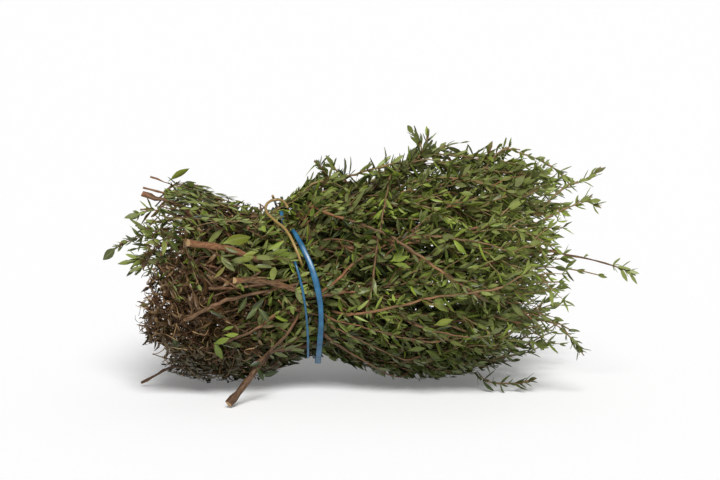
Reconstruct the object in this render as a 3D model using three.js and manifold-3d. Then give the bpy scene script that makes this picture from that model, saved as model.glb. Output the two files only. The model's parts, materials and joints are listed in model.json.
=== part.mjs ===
// A tied bundle of cut thyme, lying on its side. Millimetres, +X from the cut ends to the leafy tips, +Z up.
// Every sprig grew as one piece and is one solid: a bare woody stem at its cut end, which widens into the
// outline of its leaves and closes at its tip. Three elastic strands hold the waist.
import * as THREE from "three";
import { mergeVertices } from "three/addons/utils/BufferGeometryUtils.js";
import Module from "manifold-3d";

const wasm = await Module();
wasm.setup();

// Driving dimensions.
const SIDES = 8; // round a sprig
const RINGS = 14; // along a sprig
const GAP = 0.5; // kept between neighbours
const RING_STEP = 1 / 3.5; // from one ring of sprigs to the next, as a share of the bundle's radius
const SPRIGS_IN_RING = [1, 6, 12, 18]; // from the core outwards
const RING_NAMES = ["core", "inner", "middle", "outer"];
const CUT_END_X = -94; // middle of the ragged cut end
const TIP_X = 72; // middle of the ragged leafy end
const RAGGED = 8; // how far an end may lie from either
const STEM_RADIUS = [0.8, 1.5]; // thinnest and thickest ordinary stem
const BARE_LENGTH = [6, 22]; // shortest and longest stretch of stem stripped of leaves
const WIDEN_LENGTH = 14; // over which the leaves reach their full spread
const TIP_LENGTH = 26; // over which a tip narrows
const TIP_RADIUS = 1.2;
const OWN_TIP_LENGTH = 14; // least length that a sprig's own tip stands out of the bundle
const FLOOR_SINK = 0.5; // how far the lowest sprigs are pressed flat
const WAIST_RISE = 11; // height of the waist's underside

// The bundle's outline: height of its middle, half its height and half its width, at places along it.
const OUTLINE = [
  { x: -112, middle: 44, halfHeight: 35, halfWidth: 36 },
  { x: -90, middle: 40, halfHeight: 40, halfWidth: 40 },
  { x: -72, middle: 41, halfHeight: 41, halfWidth: 42 },
  { x: -45, middle: 38, halfHeight: 38, halfWidth: 40 },
  { x: -28, middle: WAIST_RISE + 34, halfHeight: 34, halfWidth: 36 },
  { x: -17, middle: 47.5, halfHeight: 39, halfWidth: 38 },
  { x: -5, middle: 45.5, halfHeight: 45.5, halfWidth: 42 },
  { x: 22, middle: 48.5, halfHeight: 48.5, halfWidth: 47 },
  { x: 54, middle: 50.5, halfHeight: 50.5, halfWidth: 49 },
  { x: 79, middle: 53, halfHeight: 38, halfWidth: 42 },
  { x: 112, middle: 54, halfHeight: 34, halfWidth: 38 },
];

// Outer sprigs with an end of their own. Angles go round the bundle: 0 front, 90 top, 180 back, -90 underneath.
// cut is where the stem was cut and tip where the shoot ends, each [x, y, z].
const OWN_ENDS = {
  10: { cut: [-54.5, -38, 51], stem: 1.4, tip: [111, -12, 50], bare: 24 },
  30: { cut: [-73.5, -36, 64], stem: 1.4, tip: [94, -22, 79], bare: 12 },
  50: { tip: [95.5, -9, 90], side: [[-76, -23, 66], [-88, -24, 66], [-99, -22, 64], [-111, -18, 56]] },
  70: { cut: [-95, -12, 84], stem: 1.2, tip: [81, -8, 88] },
  90: { cut: [-93, 2, 87], stem: 0.8, side: [[8, 1, 84], [18, -2, 97], [20, -3, 110]] },
  110: { side: [[-10, 12, 80], [-18, 10, 90], [-23, 8, 96.5]] },
  150: { tip: [92, 26, 74] },
  190: { cut: [-80, 39, 38], stem: 1.7, tip: [99, 33, 41] },
  230: { cut: [-86, 28, 14], tip: [88, 27, 16] },
  [-90]: { cut: [-97, -2, 2.5], stem: 1.2 },
  [-70]: { cut: [-92, -16, 3.5], tip: [73, -19, 5] },
  [-50]: { cut: [-59, -44, 1.6], stem: 1.4, bare: 26 },
  [-30]: { cut: [-80, -35, 27], stem: 1.4, tip: [87, -32, 19], bare: 26 },
};
const LOW_ANGLES = [-110, -90, -70]; // the sprigs that the bundle lies on

// The elastic strands: where each crosses the given angle round the waist, [angle, x].
const WIDE_STRAND_ROUTE = [
  [-90, -23], [-50, -22], [-20, -20.5], [0, -21.4], [20, -25.7], [42, -31.4],
  [65, -38], [90, -40], [130, -38], [180, -33], [230, -27], [270, -23],
];
const THIN_STRAND_ROUTE = [
  [-90, -27], [-62, -26.5], [-23, -26.2], [0, -27.6], [20, -30.6], [42, -35.6],
  [65, -41.8], [90, -43.6], [130, -42], [180, -37], [230, -31], [270, -27],
];
const WIDE_STRAND = { width: 2.4, thickness: 0.9 };
const THIN_STRAND = { width: 1.0, thickness: 0.9 };
const STRAND_CLEARANCE = 1.8; // from the sprigs' outline to a blue strand
const STRAND_SEGMENTS = 44;

// The pale strand: a small loop at the top, then once round the waist. [angle, x, height above the sprigs]
const PALE_STRAND_DIAMETER = 1.2;
const PALE_STRAND_LIFT = 3.7;
const PALE_STRAND_ROUTE = [
  [64, -34.6, 4], [73, -36.8, 4.3], [77, -40.2, 4.3], [72, -43.4, 4], [63, -43.3, 3.8], [55, -39.8, PALE_STRAND_LIFT],
  [45, -35, PALE_STRAND_LIFT], [31, -31.2, PALE_STRAND_LIFT], [16, -28, PALE_STRAND_LIFT],
  [-2, -25.4, PALE_STRAND_LIFT], [-30, -23.8, PALE_STRAND_LIFT], [-60, -23.6, PALE_STRAND_LIFT],
  [-90, -25, PALE_STRAND_LIFT], [-120, -27.5, PALE_STRAND_LIFT], [-150, -31.5, PALE_STRAND_LIFT],
  [-180, -35.5, PALE_STRAND_LIFT], [-210, -38.5, PALE_STRAND_LIFT], [-235, -41, PALE_STRAND_LIFT],
  [-255, -42, PALE_STRAND_LIFT],
];

const material = (color, roughness) => new THREE.MeshStandardMaterial({ color, roughness, metalness: 0 });
const SPRIG_GREENS = [0x4f6130, 0x5c6b38, 0x46552c, 0x66703f];
const SPRIG_MATERIALS = SPRIG_GREENS.map((green) => material(green, 0.7));
const BLUE_ELASTIC = material(0x1f7fb8, 0.45);
const PALE_ELASTIC = material(0xb79a5c, 0.5);

// Seeded random numbers, so that the bundle is the same each time.
let seed = 20260;
function random(low, high) {
  seed = (seed * 1664525 + 1013904223) % 4294967296;
  return low + ((high - low) * seed) / 4294967296;
}

const outline = new THREE.CubicInterpolant(
  OUTLINE.map((place) => place.x),
  OUTLINE.flatMap((place) => [place.middle, place.halfHeight, place.halfWidth]),
  3,
);

// The point at an angle round the bundle, at a share of its radius, plus a lift in millimetres.
function pointRound(x, angle, share, lift = 0) {
  const [middle, halfHeight, halfWidth] = outline.evaluate(x);
  const turn = THREE.MathUtils.degToRad(angle);
  return new THREE.Vector3(
    x,
    -(halfWidth * share + lift) * Math.cos(turn),
    middle + (halfHeight * share + lift) * Math.sin(turn),
  );
}

// How far a sprig's leaves may reach from its stem at x before they meet the next sprig's.
function laneRadius(x) {
  const [, halfHeight, halfWidth] = outline.evaluate(x);
  return (Math.min(halfHeight, halfWidth) * RING_STEP) / 2 - GAP;
}

// A lathe turned along a curve: radii are its radius at evenly spaced places from start to end.
function turnedAlong(curve, radii) {
  const last = radii.length - 1;
  const profile = radii.map((radius, i) => new THREE.Vector2(radius, i / last));
  profile.unshift(new THREE.Vector2(0, 0));
  profile.push(new THREE.Vector2(0, 1));
  const lathe = new THREE.LatheGeometry(profile, SIDES, Math.PI / SIDES);
  const position = lathe.getAttribute("position");
  const vertex = new THREE.Vector3();
  for (let i = 0; i < position.count; i++) {
    vertex.fromBufferAttribute(position, i);
    const place = curve.getPointAt(THREE.MathUtils.clamp(vertex.y, 0, 1));
    const along = curve.getTangentAt(THREE.MathUtils.clamp(vertex.y, 0, 1));
    const across = along.clone().cross(new THREE.Vector3(0, 1, 0)).normalize();
    const over = across.clone().cross(along);
    place.addScaledVector(across, vertex.x).addScaledVector(over, vertex.z);
    position.setXYZ(i, place.x, place.y, Math.max(place.z, 0));
  }
  return lathe;
}

function solidOf(geometry) {
  const bare = new THREE.BufferGeometry().setAttribute("position", geometry.getAttribute("position"));
  bare.setIndex(geometry.getIndex());
  const merged = mergeVertices(bare, 1e-3);
  return new wasm.Manifold(new wasm.Mesh({
    numProp: 3,
    vertProperties: merged.getAttribute("position").array,
    triVerts: new Uint32Array(merged.getIndex().array),
  }));
}

function joined(first, second) {
  const mesh = solidOf(first).add(solidOf(second)).getMesh();
  const geometry = new THREE.BufferGeometry();
  geometry.setAttribute("position", new THREE.BufferAttribute(mesh.vertProperties, 3));
  geometry.setIndex(new THREE.BufferAttribute(mesh.triVerts, 1));
  geometry.computeVertexNormals();
  return geometry;
}

// The line that a sprig's stem follows, from its cut end to its tip.
function sprigCurve(angle, share, ends) {
  const from = ends.cut ? ends.cut[0] : CUT_END_X + random(-RAGGED, RAGGED);
  const to = ends.tip ? Math.min(TIP_X, ends.tip[0] - OWN_TIP_LENGTH) : TIP_X + random(-RAGGED, RAGGED);
  const low = LOW_ANGLES.includes(angle);
  const steps = 12;
  const points = [];
  for (let i = 0; i <= steps; i++) {
    const x = THREE.MathUtils.lerp(from, to, i / steps);
    const point = pointRound(x, angle, share);
    if (low) {
      const [middle, halfHeight] = outline.evaluate(x);
      const resting = 1 - THREE.MathUtils.smoothstep(middle - halfHeight, 0, WAIST_RISE / 2);
      point.z = THREE.MathUtils.lerp(point.z, laneRadius(x) - FLOOR_SINK, resting);
    }
    points.push(point);
  }
  if (ends.cut) {
    const cut = new THREE.Vector3(...ends.cut);
    const reach = 34; // how far along the sprig its own cut end draws it aside
    for (const point of points) {
      const pull = THREE.MathUtils.smootherstep(reach - (point.x - from), 0, reach);
      point.lerp(new THREE.Vector3(point.x, cut.y, cut.z), pull);
    }
  }
  if (ends.tip) points.push(new THREE.Vector3(...ends.tip));
  return new THREE.CatmullRomCurve3(points, false, "centripetal");
}

function sprigGeometry(angle, share, ends) {
  const curve = sprigCurve(angle, share, ends);
  const length = curve.getLength();
  const stem = ends.stem ?? random(...STEM_RADIUS);
  const bare = ends.bare ?? random(...BARE_LENGTH);
  const radii = [];
  for (let i = 0; i <= RINGS; i++) {
    const along = (length * i) / RINGS;
    const full = laneRadius(curve.getPointAt(i / RINGS).x);
    const widened = THREE.MathUtils.smoothstep(along, bare, bare + WIDEN_LENGTH);
    const narrowed = THREE.MathUtils.smoothstep(length - along, -2, TIP_LENGTH);
    radii.push(Math.max(stem + (full - stem) * widened * narrowed, along < length / 2 ? stem : TIP_RADIUS));
  }
  const main = turnedAlong(curve, radii);
  if (!ends.side) return main;
  const sideCurve = new THREE.CatmullRomCurve3(ends.side.map((point) => new THREE.Vector3(...point)));
  return joined(main, turnedAlong(sideCurve, [1.5, 2.6, 3, 3, 2.4, TIP_RADIUS]));
}

// A closed elastic strand, from a ring whose section is width by thickness.
function strandGeometry(route, { width, thickness }) {
  const crossing = new THREE.CubicInterpolant(route.map(([angle]) => angle), route.map(([, x]) => x), 1);
  const ring = new THREE.TorusGeometry(10, 1, 6, STRAND_SEGMENTS);
  const position = ring.getAttribute("position");
  for (let i = 0; i < position.count; i++) {
    const [px, py, pz] = [position.getX(i), position.getY(i), position.getZ(i)];
    const turn = THREE.MathUtils.radToDeg(Math.atan2(py, px));
    const angle = turn < -90 ? turn + 360 : turn;
    const x = crossing.evaluate(angle)[0];
    const outwards = (Math.hypot(px, py) - 10) * (thickness / 2);
    const place = pointRound(x, angle, 1, STRAND_CLEARANCE + thickness / 2 + outwards);
    position.setXYZ(i, place.x - pz * (width / 2), place.y, place.z);
  }
  return ring;
}

function paleStrandGeometry() {
  const points = PALE_STRAND_ROUTE.map(([angle, x, lift]) => pointRound(x, angle, 1, lift));
  const section = new THREE.Shape();
  section.absarc(0, 0, PALE_STRAND_DIAMETER / 2, 0, Math.PI * 2);
  return new THREE.ExtrudeGeometry(section, {
    extrudePath: new THREE.CatmullRomCurve3(points),
    steps: 76,
    curveSegments: 3,
  });
}

const bundle = new THREE.Group();
function addPiece(name, geometry, finish) {
  const mesh = new THREE.Mesh(geometry, finish);
  mesh.name = name;
  bundle.add(mesh);
}

SPRIGS_IN_RING.forEach((count, ring) => {
  for (let i = 0; i < count; i++) {
    const turn = 360 / count;
    const angle = ring === 3 ? -110 + turn * i : turn * (i + ring / 4);
    const ends = (ring === 3 && OWN_ENDS[angle]) || {};
    const name = count === 1 ? "sprig_core" : `sprig_${RING_NAMES[ring]}_${String(i + 1).padStart(2, "0")}`;
    const finish = SPRIG_MATERIALS[(i + ring) % SPRIG_MATERIALS.length];
    addPiece(name, sprigGeometry(angle, ring * RING_STEP, ends), finish);
  }
});
addPiece("blue_band_wide_turn", strandGeometry(WIDE_STRAND_ROUTE, WIDE_STRAND), BLUE_ELASTIC);
addPiece("blue_band_thin_turn", strandGeometry(THIN_STRAND_ROUTE, THIN_STRAND), BLUE_ELASTIC);
addPiece("pale_band", paleStrandGeometry(), PALE_ELASTIC);

// The origin is under the middle of the whole bundle.
bundle.updateMatrixWorld(true);
const box = new THREE.Box3().setFromObject(bundle, true);
const middle = box.getCenter(new THREE.Vector3());
bundle.position.set(-middle.x, -middle.y, -box.min.z);

export default bundle;
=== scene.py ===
"""A tied bundle of cut thyme, grown round its packed sprigs and elastic strands. Metres, +Z up."""

import json
import math

import bmesh
import bpy
import numpy as np
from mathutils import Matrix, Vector

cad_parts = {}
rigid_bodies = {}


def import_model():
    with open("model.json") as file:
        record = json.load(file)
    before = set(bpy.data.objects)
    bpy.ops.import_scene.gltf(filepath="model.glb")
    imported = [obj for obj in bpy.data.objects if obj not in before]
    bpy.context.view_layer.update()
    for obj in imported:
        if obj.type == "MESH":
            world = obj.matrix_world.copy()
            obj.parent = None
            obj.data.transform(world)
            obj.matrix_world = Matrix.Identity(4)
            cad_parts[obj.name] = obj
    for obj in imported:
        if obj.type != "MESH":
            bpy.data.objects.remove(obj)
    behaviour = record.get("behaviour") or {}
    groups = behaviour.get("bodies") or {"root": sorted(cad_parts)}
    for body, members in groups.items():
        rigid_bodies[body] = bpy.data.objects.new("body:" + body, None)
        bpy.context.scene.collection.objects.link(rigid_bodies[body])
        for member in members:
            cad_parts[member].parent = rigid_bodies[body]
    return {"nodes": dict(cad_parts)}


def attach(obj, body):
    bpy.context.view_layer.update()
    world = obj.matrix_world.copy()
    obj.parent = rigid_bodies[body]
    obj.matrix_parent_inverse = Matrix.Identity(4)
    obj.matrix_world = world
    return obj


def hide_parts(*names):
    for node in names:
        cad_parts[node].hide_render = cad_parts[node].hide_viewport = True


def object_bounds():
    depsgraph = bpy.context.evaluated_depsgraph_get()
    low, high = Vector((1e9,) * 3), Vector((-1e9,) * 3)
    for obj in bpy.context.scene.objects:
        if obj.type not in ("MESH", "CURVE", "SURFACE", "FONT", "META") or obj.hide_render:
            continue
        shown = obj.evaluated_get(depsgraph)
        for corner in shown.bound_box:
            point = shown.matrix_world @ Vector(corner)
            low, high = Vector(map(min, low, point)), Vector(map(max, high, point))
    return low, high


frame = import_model()
CAD_BOX = [list(corner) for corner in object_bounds()]

bl_info = {
    "name": "Thyme Bundle",
    "version": (1, 0, 0),
    "blender": (4, 5, 0),
    "location": "3D View > Sidebar > Thyme",
    "description": "Grows a tied bundle of cut thyme round its packed sprigs and elastic strands",
    "category": "Object",
}

MM = 0.001
UP = np.array((0.0, 0.0, 1.0))
ALONG = np.array((1.0, 0.0, 0.0))
WAIST_X = -28 * MM
NODES = frame["nodes"]
SPRIG_NAMES = sorted(name for name in NODES if name.startswith("sprig"))
OUTER_NAMES = [name for name in SPRIG_NAMES if "outer" in name]
FAR = 1.0  # a length beyond every end of the bundle
FLOOR_GAP = 0.15 * MM
SKELETON_STEP = 3 * MM
LEAF_LENGTH, LEAF_SPACING = 8.0 * MM, 4.7 * MM
FAN_START_X, FAN_END_X = -36 * MM, 62 * MM  # between these lengths nothing may stand out in front


# ---------------------------------------------------------------- settings


def colour_setting(name, description, default):
    return bpy.props.FloatVectorProperty(name=name, description=description, default=default, subtype="COLOR")


def length_setting(name, description, default):
    return bpy.props.FloatProperty(name=name, description=description, default=default, unit="LENGTH")


class ThymeLeafSettings(bpy.types.PropertyGroup):
    length: length_setting("Leaf length", "Length of a full-grown leaf", LEAF_LENGTH)
    spacing: length_setting(
        "Leaf spacing", "Distance along a shoot from one pair of leaves to the next", LEAF_SPACING)
    green: colour_setting("Leaf green", "Upper face of a fresh leaf", (0.070, 0.104, 0.011))
    bright: colour_setting("Young leaf green", "Upper face of a young leaf", (0.240, 0.315, 0.040))
    # This colour is also laid over the leaves at the bundle's foot as painted shade.
    dark: colour_setting("Old leaf green", "Upper face of an old, shaded leaf", (0.013, 0.023, 0.004))
    under: colour_setting("Leaf underside", "Greyish lower face of a leaf", (0.230, 0.250, 0.090))
    olive: colour_setting("Yellowish green", "Leaves of the yellower sprigs", (0.165, 0.180, 0.016))
    purple: colour_setting("Purplish brown", "Leaves that the cold has tinged", (0.075, 0.055, 0.042))
    dead: colour_setting("Dead leaf brown", "A dried leaf", (0.072, 0.035, 0.012))
    faded: colour_setting("Faded leaf", "Paler patches on a dried leaf", (0.190, 0.115, 0.052))


class ThymeStemSettings(bpy.types.PropertyGroup):
    red: colour_setting("Stem red brown", "Bark of a year-old stem", (0.215, 0.088, 0.038))
    # This colour is also laid over the stems at the bundle's foot as painted shade.
    bark: colour_setting("Old bark brown", "Bark of the oldest wood", (0.068, 0.031, 0.014))
    young: colour_setting("Young stem green", "Skin of this year's growth", (0.230, 0.165, 0.070))
    cut: colour_setting("Cut wood", "Pale wood on a cut end", (0.420, 0.270, 0.130))


class ThymeTieSettings(bpy.types.PropertyGroup):
    blue: colour_setting("Blue elastic", "Colour of the blue band", (0.008, 0.072, 0.145))
    tan: colour_setting("Tan elastic", "Colour of the pale band", (0.270, 0.180, 0.060))


class ThymeStageSettings(bpy.types.PropertyGroup):
    floor: colour_setting("Floor", "Colour of the floor", (0.85, 0.85, 0.85))
    elevation: bpy.props.FloatProperty(
        name="Camera height angle", description="Angle of the camera above the floor",
        default=math.radians(8), subtype="ANGLE")
    distance: length_setting("Camera distance", "From the camera to the middle of the bundle", 0.85)
    view_width: length_setting(
        "View width", "Width that the camera sees at the middle of the bundle", 0.3024)


# ---------------------------------------------------------------- node helpers


class Bench:
    """Adds nodes to one tree. An input has its name or number, and a value or another node's socket."""

    def __init__(self, tree):
        self.tree = tree

    def add(self, kind, inputs=None, **options):
        node = self.tree.nodes.new(kind)
        for key, value in options.items():
            setattr(node, key, value)
        for key, value in (inputs or {}).items():
            socket = node.inputs[key]
            if isinstance(value, bpy.types.NodeSocket):
                self.tree.links.new(value, socket)
            elif socket.type == "RGBA":
                socket.default_value = (*value[:3], 1.0)
            else:
                socket.default_value = value
        return node

    def out(self, kind, inputs=None, **options):
        """Adds a node and returns its first output."""
        return self.add(kind, inputs, **options).outputs[0]

    def math(self, operation, first, second=0.0, third=0.0):
        return self.out("ShaderNodeMath", {0: first, 1: second, 2: third}, operation=operation)

    def times(self, first, second):
        return self.math("MULTIPLY", first, second)

    def plus(self, first, second):
        return self.math("ADD", first, second)

    def scaled(self, value, by, plus):
        return self.math("MULTIPLY_ADD", value, by, plus)

    def rest(self, share):
        """What a share leaves of one."""
        return self.math("SUBTRACT", 1.0, share)

    def chance(self, low, high, seed):
        made = self.add("FunctionNodeRandomValue", {2: low, 3: high, "Seed": seed}, data_type="FLOAT")
        return made.outputs[1]

    def pick(self, low, high, seed):
        made = self.add("FunctionNodeRandomValue", {4: low, 5: high, "Seed": seed}, data_type="INT")
        return made.outputs[2]

    def named(self, name, data_type="FLOAT"):
        made = self.add("GeometryNodeInputNamedAttribute", {"Name": name}, data_type=data_type)
        return made.outputs["Attribute"]

    def store(self, geometry, name, value, domain="POINT", data_type="FLOAT"):
        made = self.add(
            "GeometryNodeStoreNamedAttribute", {"Geometry": geometry, "Name": name, "Value": value},
            domain=domain, data_type=data_type)
        return made.outputs["Geometry"]

    def turn(self, rotation, axis, angle):
        by = self.out("FunctionNodeAxisAngleToRotation", {"Axis": axis, "Angle": angle})
        return self.out("FunctionNodeRotateRotation", {"Rotation": rotation, "Rotate By": by},
                        rotation_space="LOCAL")

    def value(self, name):
        """A value that the mesh carries at its points."""
        return self.add("ShaderNodeAttribute", attribute_name=name).outputs["Fac"]

    def place(self):
        return self.add("ShaderNodeTexCoord").outputs["Object"]

    def noise(self, scale, detail=2.0):
        return self.out("ShaderNodeTexNoise", {"Vector": self.place(), "Scale": scale, "Detail": detail})

    def stepped(self, value, low, high):
        """0 below low, 1 above high, smooth between."""
        return self.out("ShaderNodeMapRange", {"Value": value, "From Min": low, "From Max": high},
                        interpolation_type="SMOOTHSTEP")

    def layered(self, colour, *layers):
        """A colour with others laid over it in turn, each given with the share that it covers."""
        for share, over in layers:
            colour = self.add("ShaderNodeMix", {0: share, 6: colour, 7: over}, data_type="RGBA").outputs[2]
        return colour

    def bump(self, height, strength, depth):
        return self.out("ShaderNodeBump", {"Height": height, "Strength": strength, "Distance": depth})

    def surface(self, inputs):
        shader = self.out("ShaderNodeBsdfPrincipled", inputs)
        self.add("ShaderNodeOutputMaterial", {"Surface": shader})

    def give_out(self, geometry, material):
        """Ends a geometry tree: makes its instances real and gives them a material."""
        made = self.out("GeometryNodeRealizeInstances", {0: geometry})
        made = self.out("GeometryNodeSetMaterial", {"Geometry": made, "Material": material})
        self.add("NodeGroupOutput", {"Geometry": made})


def geometry_tree(name, inputs):
    """A Geometry Nodes tree with a geometry in and out and the given named inputs."""
    tree = bpy.data.node_groups.new(name, "GeometryNodeTree")
    tree.interface.new_socket("Geometry", in_out="INPUT", socket_type="NodeSocketGeometry")
    for label, (kind, default) in inputs.items():
        socket = tree.interface.new_socket(label, in_out="INPUT", socket_type="NodeSocket" + kind)
        if default is not None:
            socket.default_value = default
    tree.interface.new_socket("Geometry", in_out="OUTPUT", socket_type="NodeSocketGeometry")
    return tree, Bench(tree)


def run_tree(tree, source, name, **values):
    """Runs a tree on a source object and returns the result as a plain mesh object."""
    modifier = source.modifiers.new(tree.name, "NODES")
    modifier.node_group = tree
    sockets = {item.name: item.identifier for item in tree.interface.items_tree if item.in_out == "INPUT"}
    for label, value in values.items():
        modifier[sockets[label.replace("_", " ")]] = value
    bpy.context.view_layer.update()
    evaluated = source.evaluated_get(bpy.context.evaluated_depsgraph_get())
    mesh = bpy.data.meshes.new_from_object(evaluated)
    source.modifiers.remove(modifier)
    return in_scene(name, mesh)


def mesh_of(name, vertices, faces=(), edges=()):
    mesh = bpy.data.meshes.new(name)
    mesh.from_pydata([tuple(v) for v in vertices], list(edges), list(faces))
    return mesh


def in_scene(name, mesh):
    """A new object with the given mesh, linked to the scene."""
    made = bpy.data.objects.new(name, mesh)
    bpy.context.scene.collection.objects.link(made)
    return made


def discard(*objects):
    for unwanted in objects:
        data = unwanted.data
        bpy.data.objects.remove(unwanted)
        if data and not data.users:
            bpy.data.meshes.remove(data)


def give_values(mesh, name, values):
    layer = mesh.attributes.new(name, "FLOAT", "POINT")
    layer.data.foreach_set("value", np.asarray(values, np.float32))


def places_of(mesh):
    places = np.empty(len(mesh.vertices) * 3)
    mesh.vertices.foreach_get("co", places)
    return places.reshape(-1, 3)


def keep_places(mesh, places):
    mesh.vertices.foreach_set("co", np.ascontiguousarray(places, np.float32).ravel())
    mesh.update()


def clear_of_floor(places):
    places[:, 2] = np.maximum(places[:, 2], FLOOR_GAP)
    return places


def finish_piece(piece, slot, *nodes):
    """Hands a piece over to the frame: it rides on the one body and stands for the given nodes."""
    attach(piece, "root")
    if nodes:
        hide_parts(*nodes)


# ---------------------------------------------------------------- paths


def unit(vectors):
    vectors = np.asarray(vectors, float)
    return vectors / np.maximum(np.linalg.norm(vectors, axis=-1, keepdims=True), 1e-12)


def rising(values, start, over):
    """0 below a start, and rising evenly to 1 over a length above it."""
    return np.clip((values - start) / over, 0, 1)


def falling(values, start, over):
    """0 above a start, and rising evenly to 1 over a length below it."""
    return np.clip((start - values) / over, 0, 1)


def hump(values, middle, reach):
    """1 in the middle, and falling off smoothly on both sides to 0 well past its reach."""
    return np.exp(-(((values - middle) / reach) ** 2))


def smooth_path(controls, step=SKELETON_STEP):
    """A Catmull-Rom curve through the control points, with evenly spaced points about a step apart."""
    controls = np.asarray(controls, float)
    ends = np.vstack((2 * controls[0] - controls[1], controls, 2 * controls[-1] - controls[-2]))
    pieces = []
    shares = np.linspace(0, 1, 12, endpoint=False)[:, None]
    for a, b, c, d in zip(ends, ends[1:], ends[2:], ends[3:]):
        pieces.append(0.5 * (2 * b + (c - a) * shares + (2 * a - 5 * b + 4 * c - d) * shares**2
                             + (3 * b - a - 3 * c + d) * shares**3))
    dense = np.vstack((*pieces, controls[-1:]))
    gone = np.concatenate(([0], np.cumsum(np.linalg.norm(np.diff(dense, axis=0), axis=1))))
    count = max(int(round(gone[-1] / step)), 2) + 1
    wanted = np.linspace(0, gone[-1], count)
    return np.column_stack([np.interp(wanted, gone, dense[:, axis]) for axis in range(3)])


def centre_line(node):
    """The middle of a packed sprig from its cut end to its tip, found by walking both ways from its waist."""
    corners = places_of(NODES[node].data)
    low, high = corners[:, 0].min(), corners[:, 0].max()
    window, reach, stride, least = 7.5 * MM, 9 * MM, 6 * MM, 2 * MM

    def walk(x, sign):
        found, last = [], None
        while low - stride < x < high + stride:
            near = corners[np.abs(corners[:, 0] - x) < window]
            if last is not None and len(near):
                near = near[np.linalg.norm(near[:, 1:] - last[1:], axis=1) < reach]
            if len(near):
                middle = near.mean(0)
                if last is None or abs(middle[0] - last[0]) > least:
                    found.append(middle)
                    last = middle
            x += sign * stride
        return found

    start = max(WAIST_X, low + 2 * window)
    forward = walk(start, 1)
    back = walk(start - stride, -1)
    line = np.array(back[::-1] + forward)
    return line[np.argsort(line[:, 0])]


CENTRE_LINES = {name: centre_line(name) for name in SPRIG_NAMES}
OUTER_RING_SHARE = 3 / 3.5  # where the outer sprigs' centre lines run, as a share of the bundle's radius


def measure_skin():
    """The bundle's outline at even steps along it: height of its middle, half height and half width."""
    steps = np.arange(-78, 61, 6) * MM
    lines = [CENTRE_LINES[name] for name in OUTER_NAMES]
    lanes = np.array([[np.interp(steps, line[:, 0], line[:, axis]) for axis in (1, 2)] for line in lines])
    back, front = lanes[:, 0].max(0), lanes[:, 0].min(0)
    top, bottom = np.percentile(lanes[:, 1], (97, 3), axis=0)
    rows = np.column_stack(((top + bottom) / 2, (top - bottom) / 2 / OUTER_RING_SHARE,
                            (back - front) / 2 / OUTER_RING_SHARE))
    padded = np.vstack((rows[:1], rows, rows[-1:]))
    return steps, (padded[:-2] + 2 * padded[1:-1] + padded[2:]) / 4


SKIN = measure_skin()


def skin_at(x):
    """(middle height, half height, half width) of the bundle at x."""
    steps, rows = SKIN
    return [np.interp(x, steps, rows[:, column]) for column in range(3)]


def in_bundle(x, angle, share):
    """Places at an angle in degrees, 0 front, 90 top, and a share of the way out from the middle line."""
    middle, half_height, half_width = skin_at(x)
    turn = np.radians(angle)
    return np.column_stack(np.broadcast_arrays(
        x, -(half_width * share) * np.cos(turn), middle + (half_height * share) * np.sin(turn)))


def bundle_coordinates(places):
    """The angle and share of places, as in_bundle takes them."""
    middle, half_height, half_width = skin_at(places[:, 0])
    over, out = (places[:, 2] - middle) / half_height, -places[:, 1] / half_width
    return np.degrees(np.arctan2(over, out)), np.hypot(over, out)


def laid_on(places, limit):
    """Draws places that stand out in front of the bundle back to a share of the way from its middle line."""
    middle, half_height, half_width = skin_at(places[:, 0])
    over = (places[:, 2] - middle) / half_height
    reach = half_width * np.sqrt(np.maximum(limit**2 - over**2, 0))
    inside = (places[:, 0] > FAN_START_X) & (places[:, 0] < FAN_END_X) & (np.abs(over) < limit)
    laid = places.copy()
    laid[:, 1] = np.where(inside, np.maximum(places[:, 1], -reach), places[:, 1])
    return laid


def outward_at(places):
    """Unit vectors from the bundle's middle line through the given places, square to +X."""
    places = np.atleast_2d(places)
    out = places - np.column_stack((places[:, 0], np.zeros(len(places)), skin_at(places[:, 0])[0]))
    return unit(out + 1e-6 * UP)


def out_and_side(place):
    """The directions outwards and round the bundle at one place."""
    out = outward_at(place)[0]
    return out, np.cross(out, ALONG)


# ---------------------------------------------------------------- stems placed one by one


def outer_sprigs(table):
    """A table with the outer sprigs' numbers as its keys, turned to their names."""
    return {f"sprig_outer_{number:02d}": rows for number, rows in table.items()}


# Where a sprig's own cut end or tip shows, [x, y, z] in millimetres, in order along it.
OWN_STARTS = outer_sprigs({
    4: [(-57.5, -50, 1.8), (-53, -46, 6.5), (-48, -42, 12.5), (-43, -38, 18)],
    7: [(-54.5, -54, 52.5), (-48.5, -48, 51.7), (-39.5, -43, 49.5), (-30, -39, 46), (-19, -37, 44)],
    8: [(-73, -48.5, 66.5), (-66.5, -44, 65), (-60, -39.5, 63.5), (-53, -35, 60.5), (-44, -31, 57)],
    10: [(-94.5, -12, 84.5), (-86, -13, 82.5), (-77, -13, 80)],
    11: [(-92.5, -3, 88), (-84, -3, 85.5), (-77.5, -4, 83), (-69.5, -4, 80)],
})
OWN_TIPS = outer_sprigs({
    3: [(44, -20, 5.5), (52, -20, 4), (60, -20, 4), (64.5, -20, 5)],
    5: [(65, -32, 33), (74, -32, 31), (80.5, -32, 25.5), (84, -32, 21)],
    7: [(51, -36, 57), (65.5, -30, 59.5), (72, -28, 60.5), (79, -25, 58.5), (87, -21, 56.5), (95, -17, 54),
        (101, -14, 51.8), (106.5, -12, 49.5)],
    8: [(65, -25, 71), (74, -24, 75), (81, -23, 78), (86, -22, 80.5), (90, -22, 79)],
    9: [(66, -15, 74), (74, -12, 80), (81, -10, 85), (88, -8, 87), (92, -7, 90)],
    10: [(53, -6, 99), (62, -6, 98), (69, -6, 95.5), (76, -6, 91.5), (80, -7, 87.5)],
})
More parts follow.
